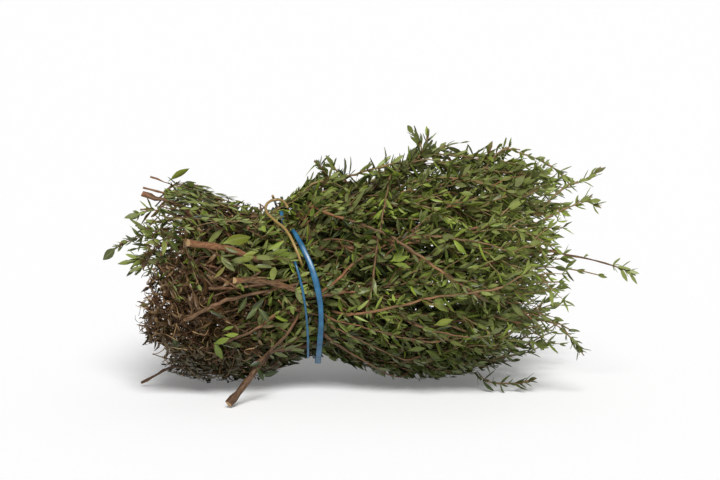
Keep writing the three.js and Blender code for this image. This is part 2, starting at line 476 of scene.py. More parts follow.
# How yellowish the sprigs on the near side are, from purplish (0) to yellow-green (1).
TONES = outer_sprigs({3: 0.55, 4: 0.75, 5: 0.65, 6: 0.3, 7: 0.55, 8: 0.45, 9: 0.75, 10: 0.0, 11: 0.15})
# Places in millimetres where the leaves are young and yellow-green, and how far that reaches.
YOUNG_SPOTS = (((60, -40, 81), 12), ((-40, -38, 60), 9), ((-58, -45, 31), 8), ((12, -50, 42), 9),
               ((8, -50, 58), 8), ((30, -50, 66), 9), ((5, -47, 35), 7), ((48, -46, 27), 9),
               ((20, -30, 88), 9))
TINGED_SPOTS = (((62, -28, 94), 12), ((60, -40, 38), 9), ((-20, -30, 22), 9))  # where cold has tinged them
# Thickness at the cut end and length of the bare stretch there, in millimetres, where they show.
SHOWN_STARTS = outer_sprigs({
    4: (1.25, 26), 7: (1.1, 26), 8: (1.2, 26), 10: (0.2, 14), 11: (0.2, 14)})
# The distance between the leaf clusters on a free tip, where it is wider than is usual.
TIP_CLUSTERS = outer_sprigs({7: 15 * MM})
USUAL_CLUSTERS = 3.6 * MM

# Stems that cross the others on the outside. Each is a kind (both ends of a covered one lie under the others,
# a stub shows its cut end, a free or upright one its leafy tip), its radius at the start and end, how leafy
# it is, how green it is at the start and end, and the points that it passes. Lengths are in millimetres.
CROSSING_STEMS = outer_sprigs({
    3: [
        ("stub", 0.6, 0.45, 0.0, (0.0, 0.0),
         [(-96.5, -9, 1.6), (-91.5, -11, 5), (-85.5, -14, 8.5), (-78.5, -18, 10.5), (-71, -22, 11)]),
    ],
    4: [
        ("covered", 0.85, 0.6, 0.1, (0.0, 0.1),
         [(-18, -32, 24), (-13, -34, 20), (-8, -35.5, 16), (2, -33, 9.5), (8, -27, 5)]),
        ("covered", 0.4, 0.3, 0.6, (0.2, 0.4),
         [(-16, -34, 30), (-8, -39, 26), (2, -43.5, 21), (12, -45, 16)]),
    ],
    5: [
        ("stub", 0.6, 0.6, 0.2, (0.1, 0.1), [(-61, -43.5, 24.5), (-54, -44, 27), (-47.5, -43, 30)]),
        ("stub", 0.8, 0.6, 0.1, (0.0, 0.0), [(-44.5, -37.5, 15.5), (-40.5, -38, 20.5), (-36, -37.5, 25)]),
        ("covered", 0.4, 0.3, 0.6, (0.2, 0.4),
         [(-15, -37, 33), (-4, -43, 31), (10, -48, 27.5), (24, -50, 25)]),
        ("covered", 0.35, 0.3, 0.7, (0.2, 0.5), [(18, -49, 32), (30, -51, 29), (42, -50, 27)]),
    ],
    6: [
        ("stub", 0.85, 0.55, 0.1, (0.0, 0.1),
         [(-75, -45, 35), (-67, -45.5, 39), (-59.5, -45, 42.5), (-52, -44, 44.5), (-44, -42.5, 46)]),
        ("covered", 0.6, 0.4, 0.3, (0.0, 0.3),
         [(-20, -40.5, 45.5), (-14, -43.5, 50.5), (-8, -45, 56.5), (0, -46, 62)]),
    ],
    7: [
        ("covered", 0.6, 0.35, 0.6, (0.35, 0.6),
         [(-9, -43, 36), (7.5, -48.5, 40), (25, -52, 44.5), (38.5, -52.5, 46.5), (50, -52.5, 48.5),
          (57, -52, 52)]),
    ],
    8: [
        ("covered", 0.6, 0.5, 0.9, (0.35, 0.4),
         [(-25, -24, 77.5), (-17, -31, 75.5), (-8, -37, 73), (4.5, -43.5, 69), (12, -47, 65)]),
        ("covered", 0.7, 0.5, 0.6, (0.35, 0.5),
         [(8, -45.5, 66.5), (12, -48, 65), (20, -51, 60), (29, -53, 54), (37.5, -53, 48)]),
        ("covered", 0.42, 0.3, 0.8, (0.3, 0.6),
         [(11, -46, 65.5), (17, -47, 69), (30.5, -49, 68), (45, -49, 66)]),
        ("free", 0.3, 0.22, 0.9, (0.1, 0.2), [(-78, -34, 58), (-86, -34, 58), (-93, -33, 55)]),
    ],
    9: [
        ("covered", 0.3, 0.5, 0.9, (0.6, 0.2),
         [(7.5, -24, 90), (5, -36, 80), (2, -45, 65), (0.5, -48.5, 52), (-1, -47.5, 44.5)]),
        ("free", 0.32, 0.22, 0.6, (0.2, 0.6),
         [(-78, -25, 65.5), (-88, -24, 66.5), (-96, -22, 65), (-103, -20, 61.5)]),
        ("free", 0.3, 0.22, 0.9, (0.1, 0.2), [(-80, -29, 58), (-87, -30, 59.5), (-95, -29, 57)]),
        ("free", 0.3, 0.22, 0.9, (0.1, 0.2), [(-80, -26, 66), (-87, -26, 68), (-93, -25, 69.5)]),
    ],
    10: [
        ("stub", 1.1, 0.7, 0.0, (0.0, 0.0), [(-94, -20, 83), (-88, -20, 81), (-78.5, -19, 78)]),
        ("covered", 0.42, 0.35, 0.6, (0.5, 0.6), [(-61, -26, 73.5), (-55.5, -23.5, 74), (-49, -21, 73)]),
        ("covered", 0.4, 0.35, 0.6, (0.8, 0.9),
         [(-38, -15, 79), (-31, -15, 82.5), (-23, -15, 87), (-10, -17, 89), (4, -17, 93.5),
          (11, -18, 94.5)]),
        ("free", 0.3, 0.22, 0.9, (0.1, 0.2), [(-80, -20, 74), (-88, -20, 76), (-95, -19, 75)]),
        ("free", 0.3, 0.22, 0.9, (0.0, 0.1), [(-72, -24, 69), (-81, -25, 71), (-89, -24, 72)]),
        ("free", 0.3, 0.22, 0.9, (0.2, 0.3), [(-66, -16, 80), (-74, -15, 83.5), (-82, -14, 84)]),
    ],
    11: [
        ("upright", 0.45, 0.3, 0.9, (0.4, 0.9),
         [(9, -1, 88), (16.8, -2, 94.5), (21, -2, 98), (19.8, -2, 102), (17.4, -2, 106)]),
        ("upright", 0.35, 0.3, 0.9, (0.6, 0.9),
         [(16.8, -2, 94.5), (21.8, -2, 98.5), (22.6, -2, 101.5), (22.8, -2, 104.5)]),
    ],
    12: [
        ("free", 0.35, 0.3, 0.9, (0.4, 0.8), [(-11, -2, 82), (-17, -4, 87), (-21.5, -4, 92.5)]),
        ("free", 0.3, 0.3, 0.9, (0.4, 0.8), [(-7, -4, 84), (-12.5, -4, 88), (-16, -4, 92.5)]),
    ],
})

# Leafy twigs that lie over the strands and the cut end. Each is an angle from the front over the top, in
# degrees, and the lengths along the bundle that it runs between, in millimetres.
COVERING_TWIGS = outer_sprigs({
    9: [(47, -28, -13), (51, -29, -15), (55, -30, -15), (59, -31, -16), (50, -46, -36), (56, -47, -36)],
    10: [(62, -48, -37), (68, -49, -36), (64, -29, -14), (70, -27, -12), (54, -77, -58), (64, -79, -60),
         (58, -66, -47), (41, -89, -72), (48, -90, -72), (55, -90, -71), (61, -88, -70), (67, -89, -70)],
    11: [(77, -42, -20), (82, -40, -17), (87, -43, -20), (92, -39, -16), (74, -77, -56), (84, -75, -55),
         (78, -64, -45), (73, -88, -69), (79, -87, -68), (85, -87, -67)],
    12: [(97, -42, -18), (102, -40, -16), (107, -42, -19), (94, -74, -54), (92, -86, -66), (101, -87, -67),
         (110, -86, -66), (119, -88, -68), (126, -85, -65)],
})

# Single leaves that show: how young and how yellowish they are, and pairs of places in millimetres, each from
# a leaf's stalk to its tip.
PLACED_LEAVES = outer_sprigs({
    4: [
        (0.3, 0.5, [((-49.5, -44.5, 16.2), (-44, -44, 18)), ((-46.5, -45, 15.8), (-43, -43.5, 10.6)),
            ((-44.5, -43.5, 11.5), (-37.8, -42, 13.2))]),
        (0.4, 0.9, [((-80.4, -40, 27.2), (-77.8, -39, 20)), ((24.5, -49.5, 32.8), (30.6, -51.5, 34.8)),
            ((-11.9, -39, 23.6), (-5.8, -41, 20.4)), ((21.5, -45, 21.5), (27.6, -44.5, 18.4)),
            ((14.3, -44, 21.3), (21, -46, 22.5))]),
    ],
    5: [
        (1.0, 0.7, [((-60.3, -44.5, 30.6), (-53.8, -46, 33.2)),
            ((-59.6, -44.5, 28.9), (-52.8, -45.5, 29.2)), ((-63.5, -43.5, 25.6), (-59.7, -41.5, 17.2)),
            ((-63.7, -43.5, 25), (-56.8, -45.5, 28.2)), ((1.4, -47.5, 36.2), (6.6, -50, 38)),
            ((3, -47.5, 35), (10.3, -49.5, 36.6)), ((4.5, -47.5, 35.5), (8.8, -50.5, 33)),
            ((-29.6, -41.5, 45), (-25.5, -43, 47.4))]),
    ],
    6: [
        (0.2, 0.2, [((-45.7, -44.5, 40), (-50.5, -46.5, 35.4)), ((-45.7, -44.5, 40), (-41, -45.5, 33.9)),
            ((-49, -45, 38), (-43.4, -45.5, 42.6)), ((-54.1, -45, 37.6), (-50.2, -46, 44))]),
    ],
    7: [
        (0.4, 1.0, [((-63.6, -44, 51.5), (-58, -43, 57)), ((-72.1, -42.5, 59.3), (-69, -44.5, 53.8)),
            ((24.6, -49, 28.8), (32.4, -48.5, 26.2))]),
        (1.0, 0.6, [((8.9, -49.5, 41.9), (8, -51, 45.4)), ((9.7, -49.5, 41.5), (12.6, -51, 44.9)),
            ((9.2, -49.5, 41.2), (14.4, -51.5, 41.8)), ((28.7, -52.5, 48.1), (33.9, -53.5, 51.3)),
            ((27.5, -52.5, 48.6), (30.4, -54, 53.2)), ((6.9, -48.5, 58.6), (14.1, -50.5, 60.4)),
            ((8.1, -48.5, 57.5), (14.1, -51, 56.5)), ((7.4, -48.5, 58), (11, -51.5, 62.4))]),
    ],
    8: [
        (0.3, 1.0, [((-60.5, -38.5, 64.8), (-50.3, -33.5, 68)), ((-51.9, -41, 57.2), (-44.4, -42, 54.1)),
            ((-59.3, -42.5, 64.2), (-53.6, -42.5, 61.8)), ((-45.6, -39, 61.8), (-51.7, -41, 60.3)),
            ((-54, -41, 58.3), (-47.9, -41.5, 59.9)), ((-83.8, -37, 68), (-83.5, -41.5, 60.3)),
            ((-82.5, -38, 66.9), (-77.8, -41.5, 62.3))]),
        (1.0, 0.6, [((-42.1, -37, 61.9), (-35.5, -36, 65.6)), ((-41.2, -38, 60.7), (-33, -38, 61.8)),
            ((-41.2, -38.5, 59.6), (-33.6, -40, 57.6)), ((35, -35, 84.8), (42.1, -36.5, 84.1))]),
    ],
    9: [
        (0.0, 0.16, [((-104.8, -20, 61), (-110.6, -18, 55.5)), ((-96.4, -24, 62.7), (-101, -26, 67.4)),
            ((-94.6, -26, 61.4), (-100.6, -28, 59.8)), ((-96.1, -28, 56.3), (-104, -30, 55.4)),
            ((-95.3, -28, 54.3), (-99.4, -30, 50)), ((-94.2, -22, 64.1), (-99, -22, 70.2)),
            ((-91, -31, 58), (-97.5, -33, 54.5)), ((-90, -30, 62), (-97, -31, 64))]),
    ],
    11: [
        (0.6, 1.0, [((-84.8, -3, 86.2), (-76.4, -6, 91.8)), ((-77.5, -5, 82.5), (-73, -7, 87))]),
    ],
})
PLACED_LEAF_LENGTH = 0.98  # the mean of the random lengths, as a share of the leaf length


# ---------------------------------------------------------------- the plan of a sprig


# How each ring of sprigs grows: side shoots on a sprig, how far out they run as shares of the bundle's
# radius, how far round it they wander in degrees, how leafy they are, and loose twigs near the cut end.
RINGS = {
    "core": {"shoots": 8, "reach": (0.05, 0.35), "wander": 60, "leafy": 0.9, "twigs": 3},
    "inner": {"shoots": 11, "reach": (0.15, 0.55), "wander": 36, "leafy": 0.95, "twigs": 4},
    "middle": {"shoots": 15, "reach": (0.42, 0.76), "wander": 26, "leafy": 0.95, "twigs": 5},
    "outer": {"shoots": 14, "reach": (0.72, 0.92), "wander": 22, "leafy": 0.95, "twigs": 9},
}
CUT_HALF_X, LEAFY_HALF_X = -60 * MM, 60 * MM  # where a sprig's place round each half of the bundle is read
OLD_WOOD, BROKEN_TWIGS = 5, 7  # thick old pieces of stem and short broken twigs on each sprig
LATERALS = 2  # short side twigs on each side shoot of an outer sprig
FIBRES, DEAD_LEAVES = 460, 460
SPRIG_SEED, TANGLE_SEED, DEAD_LEAF_SEED = 9000, 515, 616
CREST_X, CREST_REACH, CREST_HEIGHT = 22 * MM, 22 * MM, 5 * MM  # where the uppermost shoots stand higher
TWIGS_BELOW, TANGLE_BELOW = 83 * MM, 70 * MM  # the heights that broken twigs and dry tangle stay under
STALK_GIRTH = 0.2 * MM
DIVE_ALONG, DIVE_IN = 9 * MM, 8 * MM  # how far a covered end runs on, and how far in under the others
# The leaf clusters on a crossing stem that ends in a leafy tip.
TIP_LEAVES = {"free": {"apart": 3.0 * MM, "tone": 0.3, "size": 0.88, "open_by": 0.9, "young": 0.25},
              "upright": {"apart": 2.6 * MM, "tone": 0.45, "size": 0.95, "open_by": 0.6, "young": 0.4}}


class Plan:
    """Shoots, twigs or fibres, as lines with values at their points."""

    KEYS = ("girth", "leafy", "leaf_size", "spread", "broad", "green", "tone", "dry", "cut", "facing")
    LOWEST = 0.9 * MM

    def __init__(self):
        self.places, self.edges = [], []
        self.values = {key: [] for key in self.KEYS}

    def add(self, path, **values):
        start = sum(map(len, self.places))
        self.places.append(path)
        self.edges += [(start + i, start + i + 1) for i in range(len(path) - 1)]
        for key, kept in self.values.items():
            kept.append(np.broadcast_to(values.get(key, 0.0), len(path)))

    def to_object(self, name):
        places = np.vstack(self.places)
        places[:, 2] = np.maximum(places[:, 2], self.LOWEST)
        made = in_scene(name, mesh_of(name, places, edges=self.edges))
        for key, kept in self.values.items():
            give_values(made.data, key, np.concatenate(kept))
        return made


def dryness(places):
    """How likely a leaf is dead: most at the lower front of the cut end, where the sprigs are oldest."""
    far = falling(places[:, 0], -36 * MM, 46 * MM)
    low = falling(places[:, 2], 55 * MM, 33 * MM)
    return 0.03 + far * (0.06 + 0.9 * low)


def broadness(places):
    """How likely a leaf is a broad one: they grow near the cut end, and dry leaves roll up narrow."""
    return np.clip((2 * MM - places[:, 0]) / (42 * MM), 0.16, 0.48) * (1 - 0.75 * dryness(places))


# Where the leafy end lies at an angle round the bundle, the same for both of its sides, in millimetres.
LEAFY_END = ((-90, 40), (-60, 42), (-50, 50), (-35, 63), (-13, 66), (-3, 54), (5, 63), (20, 68), (35, 70),
             (50, 69), (67, 73), (80, 67), (90, 54))
# Where the cut end lies at a height: the bundle is set back at its foot.
CUT_END = ((6, -82), (20, -84), (28, -91), (60, -91), (80, -87))


def leafy_end(angle):
    folded = np.degrees(np.arcsin(np.sin(np.radians(angle))))
    angles, ends = np.transpose(LEAFY_END)
    return np.interp(folded, angles, ends) * MM


def cut_end(height):
    heights, ends = np.transpose(CUT_END) * MM
    return np.interp(height, heights, ends)


def nearness(places, spots):
    """How near each place is to its nearest spot, from 1 in it to 0 well outside its reach."""
    reaches = [np.linalg.norm(places - np.array(spot) * MM, axis=1) / (reach * MM) for spot, reach in spots]
    return np.exp(-np.min(reaches, axis=0) ** 2)


def at_start(path):
    """1 at a path's first point, and 0 at the others."""
    return np.arange(len(path)) == 0


def add_shoot(plan, chance, path, girth, leafy, size, young, tone, bare=0.1):
    """Adds a leafy shoot: its leaves get smaller, younger and closer to the stem towards its tip.

    Dry leaves are shrunken.
    """
    share = np.linspace(0, 1, len(path))
    youth, untinged, dry = nearness(path, YOUNG_SPOTS), 1 - nearness(path, TINGED_SPOTS), dryness(path)
    plan.add(
        path, girth=girth * (1 - 0.5 * share), leafy=leafy * (share > bare), broad=broadness(path), dry=dry,
        tone=np.clip(tone + 0.8 * youth, 0, 1) * untinged,
        green=np.clip(young + 0.75 * share**1.5 + youth, 0, 1) * untinged,
        spread=np.radians(chance.uniform(30, 60)) * (1 - 0.4 * share**2),
        leaf_size=size * (1.1 - 0.5 * share**2) * (1 - 0.4 * dry))


def add_laterals(plan, chance, path, count, size, young, tone, leafy):
    """Short leafy side twigs that leave a shoot sideways, more of them towards its tip."""
    heading = unit(np.gradient(path, axis=0))
    for _ in range(count):
        i = int(chance.uniform(0.3, 1.0) ** 0.7 * (len(path) - 1))
        out = outward_at(path[i])[0]
        side = unit(np.cross(out, heading[i]))
        around, lean = chance.choice((-1, 1)) * chance.uniform(0.8, 1.9), np.radians(chance.uniform(25, 50))
        away = out * math.cos(around) + side * math.sin(around)
        way = heading[i] * math.cos(lean) + away * math.sin(lean)
        length = chance.uniform(5, 13) * MM
        points = [path[i], path[i] + way * length * 0.5, path[i] + (way + heading[i] * 0.3) * length]
        add_shoot(plan, chance, smooth_path(points), girth=chance.uniform(0.24, 0.34) * MM, leafy=leafy,
                  size=size * chance.uniform(0.8, 1.05), young=young, tone=tone, bare=0.0)


def wandering_shoot(chance, start, angle, share, length, ring):
    """A shoot that leaves the main stem and runs beside it, some way further out and round the bundle."""
    gone = np.linspace(0, 1, max(int(length / SKELETON_STEP), 3) + 1)
    x = start + length * gone
    turn = chance.normal(0, ring["wander"])
    reach = chance.uniform(*ring["reach"])
    shares = share + (reach - share) * (1 - np.exp(-3.5 * gone))
    path = in_bundle(x, angle + turn * gone**1.2, shares)
    out = outward_at(path)
    side = np.cross(out, ALONG)
    flare = max(chance.normal(0.5, 2.2), -2) * MM if reach > 0.7 and start > WAIST_X else 0
    height = chance.uniform(0.6, 1.8) * MM
    wave = height * np.sin(gone * length / (chance.uniform(5, 9) * MM) + chance.uniform(0, 6))
    crest = CREST_HEIGHT * np.clip(4 * out[:, 2] - 3, 0, 1) * hump(x, CREST_X, CREST_REACH)
    return path + out * (flare * gone**2.5 + crest * (reach > 0.7))[:, None] + side * (wave * gone)[:, None]


def main_stem_path(chance, name):
    """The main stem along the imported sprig, deeper than its middle where leaves cover it."""
    line = CENTRE_LINES[name]
    own_start = np.array(OWN_STARTS.get(name, np.empty((0, 3)))) * MM
    own_tip = np.array(OWN_TIPS.get(name, np.empty((0, 3)))) * MM
    joined_over = 14 * MM
    if len(own_start):
        from_x = own_start[-1, 0] + joined_over
    else:
        from_x = cut_end(line[0, 2]) + chance.uniform(0, 5) * MM
    to_x = own_tip[0, 0] - joined_over if len(own_tip) else FAR
    between = line[(line[:, 0] > from_x) & (line[:, 0] < to_x)]
    out = outward_at(between)
    side = np.cross(out, ALONG)
    gone = between[:, 0]
    sway = chance.uniform(2, 5) * MM * np.sin(gone / (22 * MM) + chance.uniform(0, 6))
    depth = 3 * MM if "outer" in name else 0
    near_end = np.minimum(gone - line[0, 0], line[-1, 0] - gone) / (24 * MM)
    covered = np.ones(len(gone)) if len(own_start) and len(own_tip) else np.clip(near_end, 0, 1)
    covered *= 1 - 0.6 * hump(gone, WAIST_X, 15 * MM)
    between = between + (side * sway[:, None] - out * depth) * covered[:, None]
    return smooth_path(np.vstack((own_start, between, own_tip)))


def add_clusters(plan, chance, main, begin, apart, tone, size=1.0, open_by=1.0, young=1.0):
    """Clusters of young leaves from a length along a free tip to its very end, where they are fullest."""
    gone = np.arange(len(main)) * SKELETON_STEP
    heading = unit(np.gradient(main, axis=0))
    along = [*(gone[-1] - np.arange(4) * 2 * MM), *np.arange(gone[-1] - 8 * MM, begin, -apart)]
    for at in along:
        i = min(int(at / SKELETON_STEP), len(main) - 1)
        begins = main[i] + heading[i] * (at - gone[i])
        path = np.array([begins + heading[i] * reach for reach in (0, 1.9 * MM, 3.8 * MM)])
        last = at > gone[-1] - 7 * MM
        plan.add(
            path, girth=0.28 * MM, leafy=1.0, tone=tone,
            leaf_size=size * (0.68 if last else chance.uniform(0.45, 0.64)),
            spread=np.radians(chance.uniform(34, 58) * (0.75 if last else 1)) * open_by, broad=0.5,
            green=young)


def add_loose_twig(plan, chance, x, angle, share, length, tone):
    """A short leafy twig that lies across the others near the cut end."""
    start = in_bundle(np.array([x]), angle, share)[0]
    out, side = out_and_side(start)
    around = chance.uniform(-math.pi, math.pi)
    low = start[2] < 16 * MM
    along_x = abs(math.cos(around)) if start[0] < -82 * MM else math.cos(around)
    way = unit(ALONG * along_x + side * math.sin(around) * (0.3 if low else 1)
               + out * (-0.1 if low else chance.uniform(-0.3, 0.12)))
    bend = (side * chance.uniform(-0.3, 0.3) + out * chance.uniform(-0.15, 0.15)) * length
    path = smooth_path([start, start + way * length / 2, start + way * length + bend])
    add_shoot(plan, chance, path, girth=chance.uniform(0.25, 0.4) * MM, leafy=0.9,
              size=chance.uniform(0.65, 1.0), young=0.1, tone=tone, bare=0.0)


def plan_sprig(name, number):
    """All the shoots of one sprig: its woody main stem, leafy side shoots and short broken twigs."""
    chance = np.random.RandomState(SPRIG_SEED + number)
    plan = Plan()
    ring = RINGS[name.split("_")[1]]
    main = main_stem_path(chance, name)
    angles, shares = bundle_coordinates(main)
    x = main[:, 0]
    gone = np.arange(len(main)) * SKELETON_STEP
    share = gone / gone[-1]
    tone = TONES.get(name, chance.uniform(0, 1))
    thick, bare = np.array(SHOWN_STARTS.get(name, (chance.uniform(0.4, 0.8), chance.uniform(4, 14)))) * MM
    own_tip = OWN_TIPS.get(name)
    leafy = ring["leafy"] * (gone > bare)
    if own_tip:
        leafy = leafy * (x < own_tip[0][0] * MM)
    plan.add(
        main, girth=thick * (1 - share) ** 1.1 + 0.28 * MM, spread=np.radians(55) * (1 - 0.45 * share**3),
        leafy=leafy, tone=tone, leaf_size=1.08 - 0.45 * share**4, broad=broadness(main), dry=dryness(main),
        cut=at_start(main), green=np.clip(1.7 * share - 0.85, 0, 0.3 if name in TIP_CLUSTERS else 1))
    if own_tip:
        begin = gone[np.argmax(x > own_tip[0][0] * MM)]
        add_clusters(plan, chance, main, begin, TIP_CLUSTERS.get(name, USUAL_CLUSTERS), 0.6 + 0.4 * tone)
    first = max(x[0] + 5 * MM, cut_end(main[0, 2]))
    last = leafy_end(np.interp(LEAFY_HALF_X, x, angles))
    for i in range(ring["shoots"]):
        along = (i + chance.uniform(0, 1)) / ring["shoots"]
        start = first + (last - 14 * MM - first) * along
        length = chance.uniform(24, 50) * MM
        length = min(length, last + chance.normal(0, 4) * MM - start)
        path = wandering_shoot(
            chance, start, np.interp(start, x, angles), np.interp(start, x, shares), length, ring)
        values = {
            "leafy": ring["leafy"], "size": chance.uniform(0.85, 1.15), "young": max(along - 0.35, 0.0),
            "tone": np.clip(tone + chance.normal(0, 0.18), 0, 1)}
        add_shoot(plan, chance, path, girth=chance.uniform(0.3, 0.5) * MM, **values)
        if "outer" in name:
            add_laterals(plan, chance, path, LATERALS, **values)
    lane = np.interp(CUT_HALF_X, x, angles)
    ring_share = min(np.interp(CUT_HALF_X, x, shares), 0.95)
    for _ in range(ring["twigs"]):
        add_loose_twig(
            plan, chance, chance.uniform(-88, -42) * MM, lane + chance.uniform(-12, 12),
            ring_share * chance.uniform(0.86, 1.02), chance.uniform(8, 17) * MM, chance.uniform(0, 1))
    for _ in range(BROKEN_TWIGS):
        add_broken_twig(plan, chance, main)
    for _ in range(OLD_WOOD):
        add_old_wood(plan, chance, lane, ring_share)
    for angle, from_x, to_x in COVERING_TWIGS.get(name, ()):
        steps = np.linspace(from_x, to_x, 5) * MM
        path = in_bundle(steps, angle + chance.normal(0, 1.5, 5), np.array((0.9, 1.0, 1.05, 1.03, 0.96)))
        add_shoot(plan, chance, smooth_path(path), girth=0.35 * MM, leafy=1.0, size=0.9, young=0.2, tone=0.5,
                  bare=0.0)
    for row in CROSSING_STEMS.get(name, ()):
        add_crossing_stem(plan, chance, *row)
    return plan


def add_crossing_stem(plan, chance, ends, thick_start, thick_end, leafy, green, points):
    """A row of CROSSING_STEMS as a stem that is thicker at its knots and a little uneven."""
    points = np.array(points) * MM
    if ends == "covered":
        points = laid_on(points, 1.01)
    path = smooth_path(dive_under(points, ends))
    along = np.linspace(0, 1, len(path))
    knots = 1 + 0.2 * (np.arange(len(path)) % 3 == 1)
    path = path + chance.normal(0, 0.2, path.shape) * MM
    plan.add(
        path, girth=(thick_start + (thick_end - thick_start) * along) * knots * MM, leafy=leafy,
        tone=chance.uniform(0, 0.6), cut=at_start(path), spread=np.radians(48), leaf_size=0.9,
        broad=broadness(path), dry=dryness(path), green=green[0] + (green[1] - green[0]) * along)
    if ends in TIP_LEAVES:
        add_clusters(plan, chance, path, begin=3 * MM, **TIP_LEAVES[ends])


def dive_under(points, ends):
    """Carries a stem on at its covered ends, down among the others."""
    first = points[0] - unit(points[1] - points[0]) * DIVE_ALONG - outward_at(points[0])[0] * DIVE_IN
    last = points[-1] + unit(points[-1] - points[-2]) * DIVE_ALONG - outward_at(points[-1])[0] * DIVE_IN
    before = [first] if ends == "covered" else []
    after = [] if ends in TIP_LEAVES else [last]
    return np.array([*before, *points, *after])


def plan_placed_leaves(name, full_length):
    """A seat for each placed leaf of a sprig, or None if it has none."""
    plan = Plan()
    for green, tone, leaves in PLACED_LEAVES.get(name, ()):
        for start, tip in leaves:
            start, reach = np.array(start) * MM, (np.array(tip) - start) * MM
            size = np.linalg.norm(reach) / (full_length * PLACED_LEAF_LENGTH)
            seat = laid_on(np.array([start + reach * share for share in (0, 0.1, 0.2)]), 1.0)
            plan.add(seat, girth=STALK_GIRTH, leafy=1.0, leaf_size=size, broad=1.0, green=green, tone=tone,
                     facing=math.pi / 2)
    return plan if plan.places else None


def add_old_wood(plan, chance, angle, share):
    """A thick piece of old stem deep among the cut ends."""
    start = in_bundle(np.array([chance.uniform(-86, -58) * MM]), angle + chance.normal(0, 25),
                      min(share * chance.uniform(0.5, 1.0), 0.84))[0]
    out, side = out_and_side(start)
    way = unit(ALONG + side * chance.normal(0, 0.35) - out * abs(chance.normal(0.05, 0.1)))
    length = chance.uniform(12, 28) * MM
    bend = side * chance.normal(0, 0.12) * length
    path = smooth_path([start, start + way * length * 0.5 + bend, start + way * length])
    plan.add(path, girth=np.linspace(0.8, 0.5, len(path)) * chance.uniform(0.6, 1.1) * MM, tone=0.8,
             cut=at_start(path))


def add_broken_twig(plan, chance, main):
    """A short bare twig on the old wood, snapped off."""
    start = main[int(chance.uniform(0.03, 0.36) * (len(main) - 1))]
    if bundle_coordinates(start[None])[1][0] > 0.95:
        return
    out, side = out_and_side(start)
    way = unit(out * chance.uniform(-0.2, 0.5) + side * chance.uniform(-0.7, 0.7)
               - ALONG * chance.uniform(-1.2, 1.0))
    length = chance.uniform(5, 14) * MM
    bend = unit(chance.normal(size=3)) * length * 0.2
    path = smooth_path([start, start + way * length * 0.5 + bend * 0.4, start + way * length + bend])
    tone = chance.uniform(0, 1)
    if path[-1, 2] < TWIGS_BELOW:
        plan.add(path, girth=np.linspace(0.5, 0.34, len(path)) * MM, tone=tone,
                 cut=at_start(path)[::-1])


def curled_path(chance, start, heading, length, radius):
    """A dry fibre that winds back on itself with about the given radius."""
    step = 1.3 * MM
    axis = unit(chance.normal(size=3))
    places, way = [start], unit(heading)
    for _ in range(int(length / step)):
        axis = unit(axis + 0.25 * chance.normal(size=3))
        way = unit(way + np.cross(axis, way) * step / radius)
        places.append(places[-1] + way * step)
    return np.array(places)


def plan_tangle():
    """Curled dry fibres and root ends caught in the cut end, most of them low at its front."""
    chance = np.random.RandomState(TANGLE_SEED)
    plan = Plan()
    for i in range(FIBRES):
        start = place_in_tangle(chance, i)
        heading = chance.normal(size=3) + outward_at(start)[0] * 0.2
        path = curled_path(chance, start, heading, chance.uniform(5, 16) * MM, chance.uniform(1.3, 4) * MM)
        thick = chance.uniform(0.14, 0.3) * MM
        tone = chance.uniform(0, 1)
        if start[2] < TANGLE_BELOW:
            plan.add(path, girth=np.linspace(thick, thick * 0.6, len(path)), tone=tone)
    return plan


def place_in_tangle(chance, number):
    """A place near the cut end: two out of three lie at its lower front, three out of four near its skin."""
    angle = chance.normal(-24, 27) if number % 3 else chance.uniform(-180, 180)
    share = chance.uniform(0.72, 1.0) if number % 4 else chance.uniform(0.2, 0.9)
    inward = abs(chance.normal(0, 20)) * MM
    height = in_bundle(np.array([-88 * MM]), angle, share)[0, 2]
    return in_bundle(np.array([cut_end(height) + inward]), angle, share)[0]


def plan_dead_leaves():
    """Dead curled leaves that fill the tangle."""
    chance = np.random.RandomState(DEAD_LEAF_SEED)
    plan = Plan()
    for i in range(DEAD_LEAVES):
        start = place_in_tangle(chance, i)
        way = unit(chance.normal(size=3) + ALONG * 0.4)
        path = np.array([start + way * reach for reach in (0, 1.2 * MM, 2.4 * MM)])
        size, tone, facing = chance.uniform((0.65, 0, 0), (1.1, 1, 3))
        if start[2] < TANGLE_BELOW:
            plan.add(path, girth=STALK_GIRTH, leafy=1.0, leaf_size=size, spread=np.radians(60), broad=0.4,
                     tone=tone, dry=1.0, facing=facing)
    return plan


# ---------------------------------------------------------------- leaves


FULL_LEAF = ((0.0, 0.05), (0.28, 0.40), (0.58, 0.50), (0.86, 0.26))  # (place along it, half width)
SIMPLE_LEAF = ((0.0, 0.06), (0.48, 0.50))  # for the sprigs that others hide
PLACED_LEAF = ((0.0, 0.05), (0.13, 0.09), (0.3, 0.36), (0.48, 0.5), (0.66, 0.44), (0.84, 0.24))
LEAF_THICKNESS = 0.03
LEAF_SHAPES_EACH, LEAF_SHAPE_SEED = 6, 77
HIDDEN_LEAF_SIZE = 1.2  # the sprigs that others hide have larger leaves, which fill the bundle
ONE_LEAF_SPACING = 20 * MM  # longer than the seat of a placed leaf, so that each bears one
SEED_STEP, PLACED_SEED, DEAD_SEED = 100, 50, 4  # from sprig to sprig, for its placed leaves, for dead leaves


